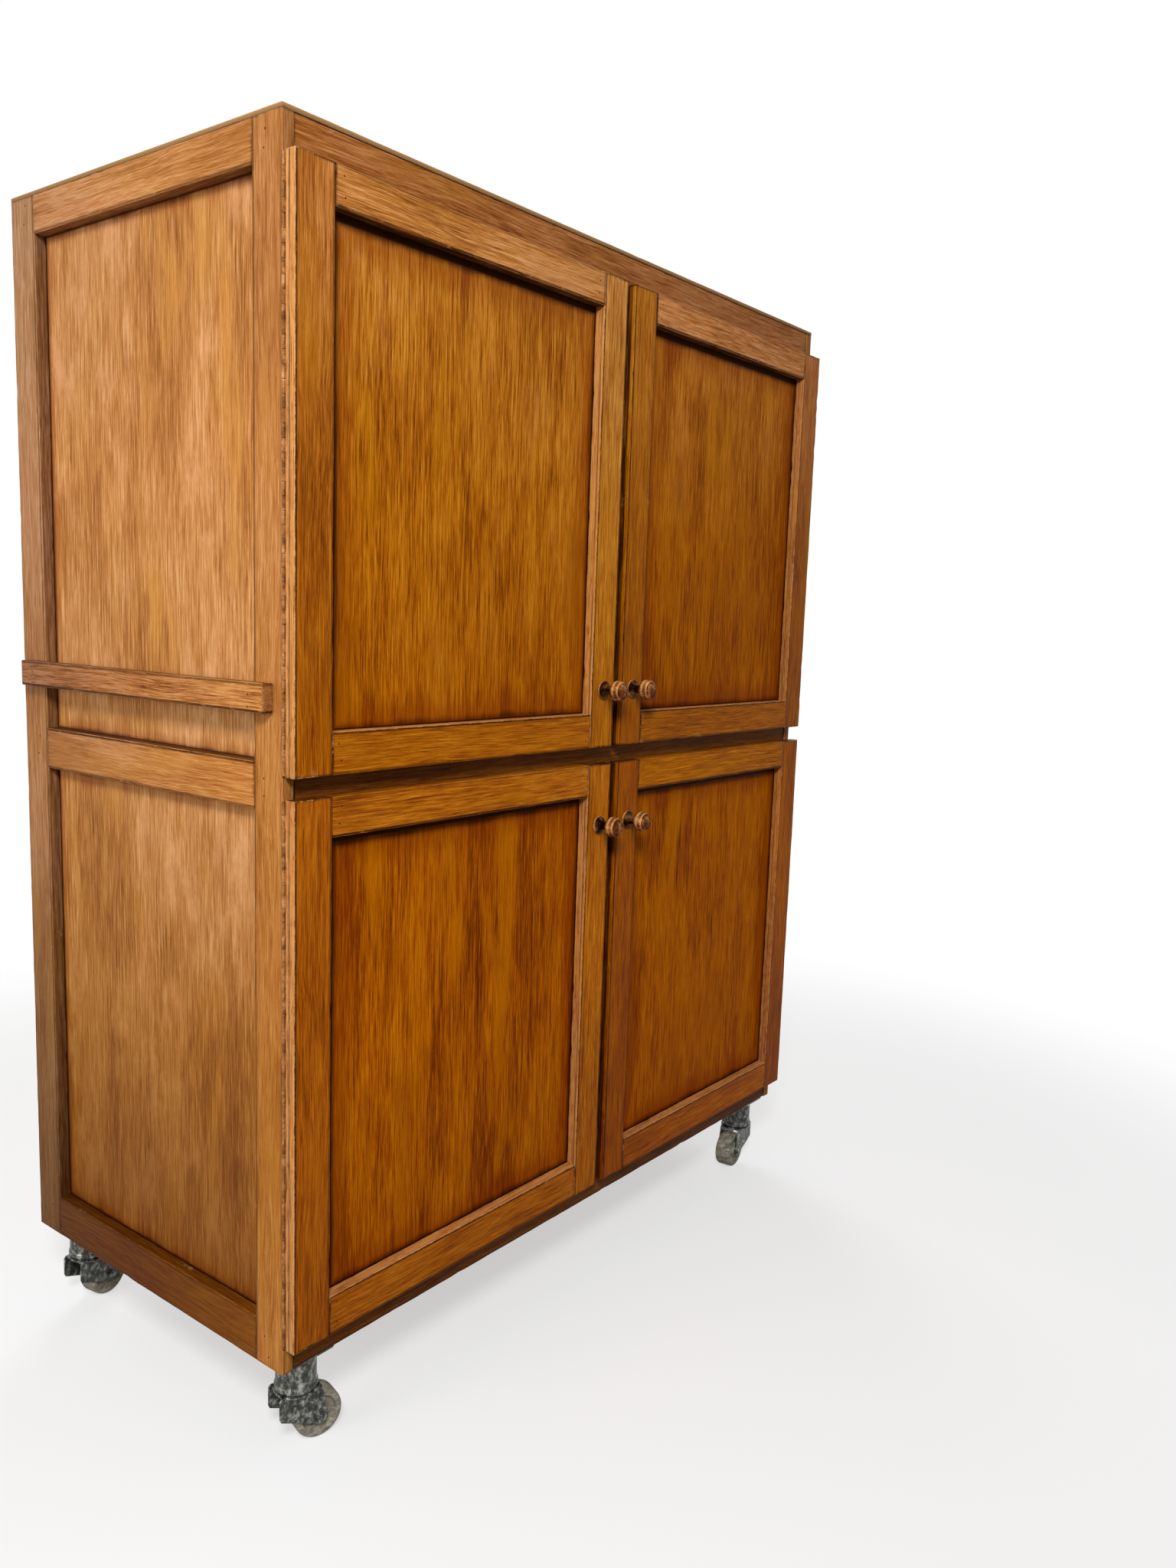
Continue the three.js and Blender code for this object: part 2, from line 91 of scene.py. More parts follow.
class Value:
    """A number that varies over a surface. Its operators add Math nodes."""

    def __init__(self, graph: "Graph", socket: bpy.types.NodeSocket) -> None:
        """Wraps a socket of a graph."""
        self.graph = graph
        self.socket = socket

    def _math(self, operation: str, *terms: "Value | float") -> "Value":
        """Adds one Math node.

        Args:
            operation: the node's operation.
            terms: its inputs in order.

        Returns:
            The node's result.
        """
        made = self.graph.node("ShaderNodeMath", {"operation": operation}, dict(enumerate(terms)))
        return Value(self.graph, made.outputs[0])

    def __add__(self, other: "Value | float") -> "Value":
        """This value and another, added."""
        return self._math("ADD", self, other)

    def __radd__(self, other: float) -> "Value":
        """A number plus this value."""
        return self._math("ADD", other, self)

    def __sub__(self, other: "Value | float") -> "Value":
        """This value less another."""
        return self._math("SUBTRACT", self, other)

    def __rsub__(self, other: float) -> "Value":
        """A number less this value."""
        return self._math("SUBTRACT", other, self)

    def __mul__(self, other: "Value | float") -> "Value":
        """This value times another."""
        return self._math("MULTIPLY", self, other)

    def __rmul__(self, other: float) -> "Value":
        """A number times this value."""
        return self._math("MULTIPLY", other, self)

    def __abs__(self) -> "Value":
        """This value without its sign."""
        return self._math("ABSOLUTE", self)

    def __neg__(self) -> "Value":
        """This value with the other sign."""
        return self._math("MULTIPLY", self, -1.0)

    def above(self, other: float) -> "Value":
        """1 where this value is the larger, and 0 elsewhere."""
        return self._math("GREATER_THAN", self, other)

    def least(self, other: "Value | float") -> "Value":
        """The smaller of this value and another."""
        return self._math("MINIMUM", self, other)

    def most(self, other: "Value | float") -> "Value":
        """The larger of this value and another."""
        return self._math("MAXIMUM", self, other)

    def wave(self, pitch: float) -> "Value":
        """A sine of this value that repeats every pitch, from 0 to 1."""
        return self._math("SINE", self * (2 * math.pi / pitch)) * 0.5 + 0.5

    def rise(self, low: float, high: float) -> "Value":
        """Goes smoothly from 0 to 1 between two levels.

        Args:
            low: the level where the result is 0.
            high: the level where it is 1. Where low is the larger of the two, the result falls.

        Returns:
            3 t squared less 2 t cubed, where t is the share of the way, held between 0 and 1.
        """
        start, end = (0.0, 1.0) if low < high else (1.0, 0.0)
        settings = {"interpolation_type": "SMOOTHSTEP", "clamp": True}
        inputs = {"Value": self, "From Min": min(low, high), "From Max": max(low, high),
                  "To Min": start, "To Max": end}
        return Value(self.graph, self.graph.node("ShaderNodeMapRange", settings, inputs).outputs[0])


class Graph:
    """The node tree of one material, or of the world."""

    def __init__(self, owner: bpy.types.Material | bpy.types.World) -> None:
        """Takes up a tree, with the shader that it starts with.

        Args:
            owner: the new material or world whose tree it is.
        """
        owner.use_nodes = True
        self.owner = owner
        self.tree = owner.node_tree
        self.shader = next(n for n in self.tree.nodes if n.type in ("BSDF_PRINCIPLED", "BACKGROUND"))

    def feed(self, target: bpy.types.NodeSocket, source: object) -> None:
        """Links a socket to a source, or sets its value.

        Args:
            target: the socket.
            source: a Value or socket to link, or a number, vector or colour to set.
        """
        if isinstance(source, Value):
            source = source.socket
        if isinstance(source, bpy.types.NodeSocket):
            self.tree.links.new(source, target)
        else:
            target.default_value = source

    def shade(self, **sources: object) -> None:
        """Feeds the shader's sockets, named with an underscore for each space."""
        for name, source in sources.items():
            self.feed(self.shader.inputs[name.replace("_", " ")], source)

    def node(self, kind: str, settings: dict | None = None, inputs: dict | None = None) -> bpy.types.Node:
        """Adds any node.

        Args:
            kind: the node's type.
            settings: properties, set first. stops is a colour ramp's list of place and colour.
            inputs: value or link of each socket, by name or index.

        Returns:
            The new node.
        """
        made = self.tree.nodes.new(kind)
        settings = dict(settings or {})
        stops = settings.pop("stops", ())
        while stops and len(made.color_ramp.elements) < len(stops):
            made.color_ramp.elements.new(0.5)
        for index, (place, colour) in enumerate(stops):
            made.color_ramp.elements[index].position = place
            made.color_ramp.elements[index].color = colour
        for key, value in settings.items():
            setattr(made, key, value)
        for key, source in (inputs or {}).items():
            self.feed(made.inputs[key], source)
        return made

    def vector(self, operation: str, first: object, second: object) -> bpy.types.NodeSocket:
        """Two vectors worked together by Vector Math."""
        return self.node("ShaderNodeVectorMath", {"operation": operation}, {0: first, 1: second}).outputs[0]

    def joined(self, x: object, y: object, z: object) -> bpy.types.NodeSocket:
        """A vector made of three parts."""
        return self.node("ShaderNodeCombineXYZ", {}, {0: x, 1: y, 2: z}).outputs[0]

    def noise(self, vector: bpy.types.NodeSocket, scale: tuple[float, float, float], detail: float = 2.0,
              rough: float = 0.5) -> Value:
        """Noise stretched over a vector.

        Args:
            vector: the place that it is read at.
            scale: repeats in a metre, each way.
            detail: octaves.
            rough: share that each finer octave keeps.

        Returns:
            The noise, about 0 to 1 round a middle of 0.5.
        """
        inputs = {"Vector": self.vector("MULTIPLY", vector, scale), "Scale": 1.0, "Detail": detail,
                  "Roughness": rough}
        return Value(self, self.node("ShaderNodeTexNoise", {"noise_dimensions": "3D"}, inputs).outputs[0])

    def ramp(self, factor: Value, stops: list[tuple[float, Colour]]) -> bpy.types.NodeSocket:
        """A colour picked along a ramp."""
        return self.node("ShaderNodeValToRGB", {"stops": stops}, {"Fac": factor}).outputs[0]

    def mix(self, factor: Value | float, first: object, second: object) -> bpy.types.NodeSocket:
        """Two colours mixed, with more of the second as the factor goes from 0 to 1."""
        settings = {"data_type": "RGBA", "blend_type": "MIX", "clamp_factor": True}
        return self.node("ShaderNodeMix", settings, {"Factor": factor, 6: first, 7: second}).outputs[2]

    def attribute(self, name: str) -> bpy.types.NodeSocket:
        """A vector that the piece carries at each of its points."""
        settings = {"attribute_type": "GEOMETRY", "attribute_name": name}
        return self.node("ShaderNodeAttribute", settings).outputs["Vector"]

    def parts(self, vector: bpy.types.NodeSocket) -> list[Value]:
        """The three parts of a vector."""
        made = self.node("ShaderNodeSeparateXYZ", {}, {0: vector})
        return [Value(self, socket) for socket in made.outputs]

    def spot(self) -> bpy.types.NodeSocket:
        """The place on the object, in metres from its origin."""
        return self.node("ShaderNodeTexCoord").outputs["Object"]

    def seen(self) -> Value:
        """Tells the rays that show a surface from those that only light.

        Returns:
            1 for a ray from the camera, from gloss or through glass, and 0 for any other.
        """
        path = self.node("ShaderNodeLightPath")
        camera, gloss, glass = (Value(self, path.outputs[f"Is {kind} Ray"])
                                for kind in ("Camera", "Glossy", "Transmission"))
        return camera.most(gloss).most(glass)

    def bump(self, height: Value, depth: float, strength: float) -> None:
        """Raises the surface by a height map of a depth in metres."""
        made = self.node("ShaderNodeBump", {}, {"Height": height, "Distance": depth, "Strength": strength})
        self.shade(Normal=made.outputs[0])


# ---------------------------------------------------------------- finishes


class Cut(Enum):
    """How a wooden piece is cut, with how far its grain wanders to the side."""

    SOLID = 20 * MM
    PLY = 8 * MM


@dataclass(frozen=True)
class Pattern:
    """One noise drawn out along a board, by its repeats in a metre, octaves and roughness."""

    along: float
    across: float
    octaves: float = 2.0
    rough: float = 0.5

    def at(self, g: Graph, place: bpy.types.NodeSocket) -> Value:
        """The noise at a place whose parts run along, across and through the board."""
        return g.noise(place, (self.along, self.across, self.across), self.octaves, self.rough)


PORE = Pattern(60, 1250, 1)
FINE = Pattern(20, 700, 4, 0.7)
STREAK = Pattern(8, 250, 3, 0.66)
RUB = Pattern(75, 110, 3, 0.7)
PATCH = Pattern(11, 21, 4, 0.66)
SMEAR = Pattern(2.8, 19, 3, 0.6)
CLOUD = Pattern(3.2, 6.5, 2, 0.55)
BEND = Pattern(4, 8)
RING_SCALE = (40, 240, 480)
RING_SHIFT = (3.0, 5.0, 7.0)

# Distances from an edge, where a mark starts and where it is full.
EDGE = (2.4 * MM, 0.9 * MM)
VENEER = (0.35 * MM, 0.7 * MM)
END_GRAIN = (0.9 * MM, 0.3 * MM)
END_SEAM = (4.2 * MM, 1.2 * MM)
BACK_STAIN_AND_SHADE = (0.0, 3 * MM)
CRACK = (1.7 * MM, 0.7 * MM)
CRACKED = (0.0, 2 * MM)
POOLED = (5 * MM, 2.6 * MM)
POOLED_INNER = (0.4 * MM, 1.2 * MM)
RUBBED_ARRIS = (2.4 * MM, 0.4 * MM)
CHIPPED = (14 * MM, 2 * MM)
RIM_LINE = (3.0 * MM, 1.4 * MM)
RIM_WANDER = 26 * MM


@dataclass
class Grain:
    """The patterns that a wood finish is mixed from, finest first, and the place in the board."""

    pore: Value
    fine: Value
    streak: Value
    rub: Value
    patch: Value
    smear: Value
    cloud: Value
    place: list[Value]
    half: list[Value]

    @property
    def gaps(self) -> list[Value]:
        """Distances to the ends, the long edges and the faces."""
        return [size - abs(part) for size, part in zip(self.half, self.place)]


@dataclass(frozen=True)
class WoodFinish:
    """Stained and varnished wood. The grain runs along each board's own length."""

    name: str
    deep: Colour
    body: Colour
    pale: Colour
    rust: Colour
    gold: Colour
    bare: Colour
    # Grime, also mixed in as painted shade on dark edges, undersides and recess corners.
    grime_and_shade: Colour
    cut: Cut = Cut.SOLID
    recessed: bool = False
    wear: float = 0.55
    blotch: float = 1.0
    contrast: float = 1.0
    faded: float = 0.12
    joint: float = 0.85
    ply: float = 2.6 * MM
    rim: Band = (30 * MM, 11 * MM)
    roughness: float = 0.45
    sheen: float = 0.035
    coat: float = 0.006
    coat_rough: float = 0.3
    relief: float = 0.3 * MM

    def grain(self, g: Graph) -> Grain:
        """Lays out the patterns, whose lines a slow noise bends to the side.

        Args:
            g: the material's graph.

        Returns:
            The patterns, moved by the board's own seed, and the place from the board's middle.
        """
        at = g.attribute("board_at")
        spot = g.vector("ADD", at, g.attribute("board_seed"))
        bend = (BEND.at(g, spot) - 0.5) * self.cut.value
        wavy = g.vector("ADD", spot, g.joined(0.0, bend, bend * 0.6))
        return Grain(
            pore=PORE.at(g, wavy).rise(0.60, 0.74),
            fine=FINE.at(g, wavy),
            streak=STREAK.at(g, wavy),
            rub=RUB.at(g, spot),
            patch=PATCH.at(g, spot),
            smear=SMEAR.at(g, wavy),
            cloud=CLOUD.at(g, spot),
            place=g.parts(at),
            half=g.parts(g.attribute("board_half")),
        )

    def stained(self, g: Graph, grain: Grain) -> bpy.types.NodeSocket:
        """The stain as it took on the flat of a board.

        The shade is twice the fine pattern plus the streaks, times the contrast, plus 0.6 of the
        smears and the clouds, times the blotch, each about its middle. Rust lies where the clouds
        are high, gold where they are low, bare wood in patches, and the deep colour in the pores.

        Args:
            g: the material's graph.
            grain: the wood's patterns.

        Returns:
            The colour.
        """
        broad = 0.6 * self.blotch
        shade = ((grain.fine - 0.5) * 2.0 + (grain.streak - 0.5)) * self.contrast
        shade = shade + (grain.smear - 0.5) * broad + (grain.cloud - 0.5) * broad
        colour = g.ramp(shade + 0.5, [(0.1, self.deep), (0.5, self.body), (0.9, self.pale)])
        red = grain.cloud.rise(0.50, 0.70) * grain.smear.rise(0.40, 0.66)
        colour = g.mix(red * (0.45 * self.blotch), colour, self.rust)
        yellow = grain.cloud.rise(0.50, 0.32) * grain.smear.rise(0.44, 0.62)
        colour = g.mix(yellow * (0.5 * self.blotch), colour, self.gold)
        faded = grain.patch.rise(0.46, 0.72) * grain.cloud.rise(0.40, 0.62)
        colour = g.mix(faded * self.faded, colour, self.bare)
        return g.mix(grain.pore * 0.34, colour, self.deep)

    def ended(self, g: Graph, grain: Grain, colour: bpy.types.NodeSocket) -> bpy.types.NodeSocket:
        """Shows how the piece is cut: plies along its edges, or end grain and a grimy seam at its ends.

        Args:
            g: the material's graph.
            grain: the wood's patterns.
            colour: the colour so far.

        Returns:
            The colour.
        """
        ends, _, faces = grain.gaps
        if self.cut is Cut.PLY:
            layer = g.mix(grain.place[2].wave(self.ply), self.deep, self.bare)
            return g.mix(faces.rise(*VENEER), colour, layer)
        rings = g.noise(g.vector("ADD", g.joined(*grain.place), RING_SHIFT), RING_SCALE)
        colour = g.mix(ends.rise(*END_GRAIN) * self.joint, colour, g.mix(rings, self.grime_and_shade, self.deep))
        seam = ends.rise(*END_SEAM) * grain.smear.rise(0.34, 0.60)
        return g.mix(seam * self.joint, colour, self.grime_and_shade)

    def edged(self, g: Graph, grain: Grain,
              colour: bpy.types.NodeSocket) -> tuple[bpy.types.NodeSocket, Value]:
        """Finishes the long edges.

        A pale edge is rubbed to bare wood and painted lighter where it faces the light, with a grimy crack
        where its front strip ends. A dark edge holds stain and painted shade, on undersides, in gaps and in
        recess corners, except on that strip. Stain also pools on the face beside an edge.

        Args:
            g: the material's graph.
            grain: the wood's patterns.
            colour: the colour so far.

        Returns:
            The colour, and the tint of the nearer long edge.
        """
        low, high, front_strip = g.parts(g.attribute("board_edge"))
        tint = low + (high - low) * grain.place[1].above(0.0)
        pale, dark = tint.most(0.0), (-tint).most(0.0)
        beside = grain.gaps[1]
        edge = beside.rise(*EDGE)
        depth = grain.place[2] + grain.half[2] - front_strip
        # Pale edges are rubbed bare and painted lighter where they face the light.
        bare_and_lit = grain.rub.rise(0.26, 0.54) * 0.5 + grain.fine.rise(0.40, 0.54) * 0.5
        bare_and_lit = bare_and_lit * (grain.streak.rise(0.34, 0.56) * 0.5 + 0.5)
        colour = g.mix(edge * pale * bare_and_lit, colour, self.bare)
        crack = abs(depth).rise(*CRACK) * front_strip.rise(*CRACKED) * grain.streak.rise(0.38, 0.5)
        colour = g.mix(edge * pale * crack * 0.8, colour, self.grime_and_shade)
        # Past the front strip a dark edge holds stain and painted shade.
        stain_and_shade = depth.rise(*BACK_STAIN_AND_SHADE) * (grain.streak.rise(0.62, 0.40) * 0.3 + 0.7)
        colour = g.mix(edge * dark * stain_and_shade, colour, self.grime_and_shade)
        pooled = beside.rise(*POOLED) * beside.rise(*POOLED_INNER)
        pooled = pooled * (grain.rub.rise(0.24, 0.46) * 0.7 + grain.streak.rise(0.40, 0.52) * 0.3)
        return g.mix(pooled * (abs(tint) * 1.2).least(0.95), colour, self.grime_and_shade), tint

    def worn(self, grain: Grain, tint: Value) -> Value:
        """How far the stain is rubbed off.

        The middle one of the three gaps is the distance to the nearest arris. Arrises are rubbed
        most on pale edges, whose tint also paints light, and chips reach further in.

        Args:
            grain: the wood's patterns.
            tint: the tint of the nearer long edge.

        Returns:
            0 for whole stain, and up to wear for bare wood.
        """
        ends, edges, faces = grain.gaps
        near = ends.least(edges).most(ends.most(edges).least(faces))
        arris = near.rise(*RUBBED_ARRIS) * grain.rub.rise(0.46, 0.64) * (tint * 0.8 + 0.5).most(0.12)
        chip = grain.patch.rise(0.63, 0.68) * near.rise(*CHIPPED) * grain.rub.rise(0.44, 0.58)
        return (arris + chip * 0.6).least(1.0) * self.wear

    def rimmed(self, g: Graph, grain: Grain, colour: bpy.types.NodeSocket) -> bpy.types.NodeSocket:
        """The stain that pooled where a panel meets its frame, with painted shade in the recess corner.

        Args:
            g: the material's graph.
            grain: the wood's patterns.
            colour: the colour so far.

        Returns:
            The colour, with a broad rusty rim, a narrow grimy one and a dark line at the frame.
        """
        place = g.parts(g.attribute("window_at"))
        room = g.parts(g.attribute("window_half"))
        rim = (room[0] - abs(place[0])).least(room[1] - abs(place[1]))
        broad, narrow = self.rim
        reach = min(broad, RIM_WANDER)
        uneven = (grain.smear - 0.5) * (1.9 * reach) + (grain.patch - 0.5) * reach
        face = place[2].rise(0.4, 0.6)
        colour = g.mix((rim + uneven).rise(broad, 0.1 * broad) * face * 0.55, colour, self.rust)
        # The narrow rim and the dark line at the frame are grime and painted shade in the recess corner; on
        # the middle rail the narrow rim is the painted shadow under the upper doors.
        colour = g.mix((rim + uneven * 0.3).rise(narrow, 0.0) * face * 0.75, colour, self.grime_and_shade)
        return g.mix(rim.rise(*RIM_LINE) * face * 0.85, colour, self.grime_and_shade)

    def make(self) -> bpy.types.Material:
        """Builds the material.

        Returns:
            Stained wood with worn arrises, end grain or plies, and pooled stain at its edges.
        """
        g = Graph(bpy.data.materials.new(self.name))
        grain = self.grain(g)
        colour = self.stained(g, grain)
        if self.recessed:
            colour = self.rimmed(g, grain, colour)
        # Multiplies in each board's tone with painted light: darker lower down, lighter with a painted sheen
        # near the tops, and painted shade on boards in gaps and at the bottom.
        colour = g.vector("MULTIPLY", colour, g.attribute("board_tone"))
        colour, tint = self.edged(g, grain, self.ended(g, grain, colour))
        worn = self.worn(grain, tint)
        rough = (grain.fine - 0.5) * 0.2 + (grain.smear - 0.5) * 0.16 + worn * 0.25 + self.roughness
        g.shade(Base_Color=g.mix(worn, colour, self.bare), Roughness=rough, Specular_IOR_Level=self.sheen,
                Coat_Weight=self.coat, Coat_Roughness=self.coat_rough)
        g.bump(grain.fine * 0.6 + grain.streak * 0.35 - grain.pore * 0.5 - worn * 0.4, self.relief, 0.55)
        return g.owner


@dataclass(frozen=True)
class TurnedFinish:
    """Turned, handled wood or painted and plated metal, patterned by its place on the cabinet."""

    name: str
    dark: Colour
    body: Colour
    light: Colour
    roughness: float
    metallic: float = 0.0
    grain: tuple[float, float, float] = (60.0, 60.0, 60.0)
    speck: float = 0.35
    mottle: float = 1.5
    sheen: float = 0.5
    relief: float = 0.12 * MM

    def make(self) -> bpy.types.Material:
        """Builds the material.

        Returns:
            A mottled, slightly scratched and dusty surface, darkened by the first part of the piece's
            grime attribute, grime with painted shade, and lightened by the second, rubbing with painted
            highlights.
        """
        g = Graph(bpy.data.materials.new(self.name))
        spot = g.spot()
        broad = g.noise(spot, self.grain, 4, 0.6)
        fine = g.noise(spot, tuple(9 * part for part in self.grain), 3, 0.6)
        dust = g.noise(spot, (95, 95, 95), 4, 0.7).rise(0.52, 0.72)
        shade = (broad - 0.5) * self.mottle + (fine - 0.5) * 0.7 + 0.5
        colour = g.ramp(shade, [(0.15, self.dark), (0.5, self.body), (0.85, self.light)])
        colour = g.mix(dust * self.speck, colour, self.dark)
        # Grime with painted shade darkens; rubbing with painted highlights lightens.
        held, rubbed, _ = g.parts(g.attribute("turned_grime_and_light"))
        colour = g.mix(held * (broad.rise(0.62, 0.40) * 0.3 + 0.7), colour, self.dark)
        colour = g.mix(rubbed * (fine.rise(0.36, 0.56) * 0.6 + 0.4), colour, self.light)
        metal = self.metallic - dust * (0.6 * self.metallic) if self.metallic else 0.0
        g.shade(Base_Color=colour, Roughness=(fine - 0.5) * 0.25 + dust * 0.2 + self.roughness,
                Metallic=metal, Specular_IOR_Level=self.sheen)
        g.bump(fine * 0.7 + broad * 0.4, self.relief, 0.6)
        return g.owner


BARE = tone(216, 158, 108)
RUBBED = tone(212, 152, 92)
SIDE = WoodFinish("side_wood", tone(138, 78, 32), tone(182, 118, 60), tone(214, 156, 100), tone(170, 90, 44),
                  tone(192, 130, 56), BARE, tone(48, 22, 8), wear=0.5, faded=0.25, joint=0.5)
HAND_RAIL = replace(SIDE, name="hand_rail_wood", deep=tone(116, 60, 26), contrast=1.45, blotch=1.7, joint=0.3,
                    wear=0.7)
SIDE_SHEET = WoodFinish("side_sheet_wood", tone(124, 68, 24), tone(180, 118, 60), tone(218, 164, 108),
                        tone(150, 82, 38), tone(198, 136, 58), BARE, tone(66, 28, 10), Cut.PLY, True,
                        blotch=1.1, faded=0.7, rim=(24 * MM, 8 * MM))
FRONT = WoodFinish("front_wood", tone(108, 52, 12), tone(174, 102, 32), tone(212, 146, 72), tone(148, 72, 20),
                   tone(192, 126, 26), RUBBED, tone(42, 16, 6), wear=0.6)
PANEL = WoodFinish("panel_wood", tone(102, 46, 4), tone(174, 98, 15), tone(206, 138, 42), tone(130, 58, 8),
                   tone(194, 126, 12), RUBBED, tone(40, 16, 4), Cut.PLY, True, blotch=1.3, contrast=1.2,
                   rim=(58 * MM, 14 * MM), sheen=0.015, coat=0.002)
# A darker copy of the front wood for the rails and stile in shade behind the doors: painted shade.
SHADED = WoodFinish("shaded_rail_wood", tone(66, 28, 4), tone(116, 62, 14), tone(146, 90, 30),
                    tone(92, 40, 8), tone(116, 68, 10), tone(150, 96, 58), tone(20, 8, 4), recessed=True,
                    wear=0.4, rim=(7 * MM, 7 * MM))
INSIDE = WoodFinish("inside_wood", tone(150, 108, 66), tone(186, 144, 96), tone(208, 170, 122),
                    tone(160, 110, 66), tone(190, 150, 90), tone(214, 178, 132), tone(96, 66, 38), Cut.PLY,
                    wear=0.2, blotch=0.45, contrast=0.7, roughness=0.6, sheen=0.2)
TOP = WoodFinish("top_sheet_wood", tone(134, 104, 70), tone(158, 126, 88), tone(182, 152, 114),
                 tone(130, 90, 56), tone(152, 120, 76), tone(178, 128, 76), tone(94, 76, 54), Cut.PLY,
                 wear=0.3, blotch=0.8, faded=0.3, ply=13 * MM, roughness=0.65)
KNOB = TurnedFinish("knob_wood", tone(22, 6, 0), tone(136, 66, 10), tone(240, 176, 110), 0.22, sheen=0.03,
                    grain=(70, 14, 70), mottle=1.3, speck=0.15)
HINGE = TurnedFinish("hinge_metal", tone(72, 40, 16), tone(150, 96, 50), tone(204, 150, 98), 0.5, sheen=0.12)
CASTER = TurnedFinish("caster_metal", tone(14, 14, 13), tone(62, 63, 59), tone(204, 204, 192), 0.36,
                      metallic=0.5, grain=(120, 120, 90), mottle=1.25, speck=0.6)
TREAD = TurnedFinish("wheel_tread", tone(62, 58, 48), tone(142, 136, 120), tone(214, 208, 188), 0.7,
                     sheen=0.2, grain=(60, 60, 160), mottle=1.1, speck=0.3)
FILLER = TurnedFinish("nail_filler", tone(26, 12, 6), tone(48, 22, 8), tone(76, 40, 16), 0.7, sheen=0.05)
FINISHES = (SIDE, HAND_RAIL, SIDE_SHEET, FRONT, PANEL, SHADED, INSIDE, TOP, KNOB, HINGE, CASTER, TREAD,
            FILLER)


# ---------------------------------------------------------------- surfaces


@dataclass
class Shell:
    """A closed mesh as arrays: points, quads, capping polygons and which faces are shaded smooth."""

    points: Array
    quads: Array
    caps: list[list[int]]
    smooth: Array

    def flipped(self) -> "Shell":
        """The same shell with its faces turned round."""
        return Shell(self.points, self.quads[:, ::-1], [cap[::-1] for cap in self.caps], self.smooth)


def loft(rings: Array, closed: bool = False, smooth: Array | None = None) -> Shell:
    """Joins rings into a closed surface.

    Ring i and ring i + 1 are joined point by point, so the surface is a grid of ring by point.
    Points run anticlockwise seen from the last ring, which makes the faces point outwards.

    Args:
        rings: ring, point and coordinate.
        closed: join the last ring to the first instead of capping both.
        smooth: for each quad, as ring by point, whether it is shaded smooth.

    Returns:
        The shell.
    """
    count, size = rings.shape[:2]
    spans = count if closed else count - 1
    ring, point = np.meshgrid(np.arange(spans), np.arange(size), indexing="ij")
    here, beyond, after = ring * size, (ring + 1) % count * size, (point + 1) % size
    quads = np.stack([here + point, here + after, beyond + after, beyond + point], -1)
    flags = np.ones((spans, size), bool) if smooth is None else smooth
    caps = [] if closed else [list(range(size))[::-1], list(range((count - 1) * size, count * size))]
    return Shell(rings.reshape(-1, 3), quads.reshape(-1, 4), caps, flags.ravel())


def joined(shells: list[Shell]) -> Shell:
    """Puts several shells into one mesh.

    Args:
        shells: the shells, in order.

    Returns:
        One shell with all their points, whose faces count on from each shell to the next.
    """
    starts = np.cumsum([0] + [len(shell.points) for shell in shells[:-1]])
    return Shell(
        np.concatenate([shell.points for shell in shells]),
        np.concatenate([shell.quads + start for shell, start in zip(shells, starts)]),
        [[index + int(start) for index in cap] for shell, start in zip(shells, starts) for cap in shell.caps],
        np.concatenate([shell.smooth for shell in shells]),
    )


def basis(axis: Vector) -> Array:
    """Finds two directions square to an axis.

    Args:
        axis: the axis.

    Returns:
        Rows of a right-handed frame: level or upright, square to both, and the axis.
    """
    third = np.array(axis, float) / np.linalg.norm(axis)
    guide = LEVEL[2] if abs(third[2]) < 0.9 else LEVEL[0]
    first = guide - third * (guide @ third)
    first /= np.linalg.norm(first)
    return np.stack([first, np.cross(third, first), third])


def revolved(profile: Array, sides: int, centre: Array, axis: Vector, closed: bool = False) -> Shell:
    """Turns a profile about an axis.

    A point is centre + radius (cos t first + sin t second) + height axis, for t round the circle.

    Args:
        profile: radius and height of each point.
        sides: points round the circle.
        centre: where height is 0.
        axis: the way that height grows.
        closed: whether the profile is a loop.

    Returns:
        The shell.
    """
    turn = np.linspace(0, 2 * math.pi, sides, endpoint=False)
    radius, height = profile[:, :1], profile[:, 1:]
    tall = np.broadcast_to(height, (len(profile), sides))
    local = np.stack([radius * np.cos(turn), radius * np.sin(turn), tall], -1)
    return loft(local @ basis(axis) + centre, closed)


def rounded(profile: list[tuple[float, float]], radius: float, steps: int = 4) -> Array:
    """Rounds the inner corners of a profile.

    Each corner is replaced by points of the quadratic curve that leaves and meets its two sides
    at most radius away from it, and at most 45 percent of a side.

    Args:
        profile: the corners, whose first and last stay sharp.
        radius: how far from a corner its curve starts.
        steps: spans of each curve.

    Returns:
        The rounded profile's points.
    """
    points = np.array(profile, float)
    here = points[1:-1]
    ends = []
    for side in (points[:-2] - here, points[2:] - here):
        length = np.linalg.norm(side, axis=1)
        ends.append(here + side / length[:, None] * np.minimum(radius, 0.45 * length)[:, None])
    leave, meet = (end[:, None] for end in ends)
    t = np.linspace(0, 1, steps + 1)[None, :, None]
    curve = (1 - t) ** 2 * leave + 2 * t * (1 - t) * here[:, None] + t**2 * meet
    return np.concatenate([points[:1], curve.reshape(-1, 2), points[-1:]])


def pin_profile(stops: list[tuple[float, float]], radius: float, steps: int = 4) -> Array:
    """A rounded profile in metres that starts and ends at a closed pole.

    Args:
        stops: radius and height of each corner, in millimetres, whose first and last give only
            the two poles' heights.
        radius: how far from a corner its curve starts, in millimetres.
        steps: spans of each curve.

    Returns:
        Radius and height of each point, in metres.
    """
    poles = [(POLE, stops[0][1]), (POLE, stops[-1][1])]
    return rounded([poles[0], *stops[1:-1], poles[1]], radius, steps) * MM


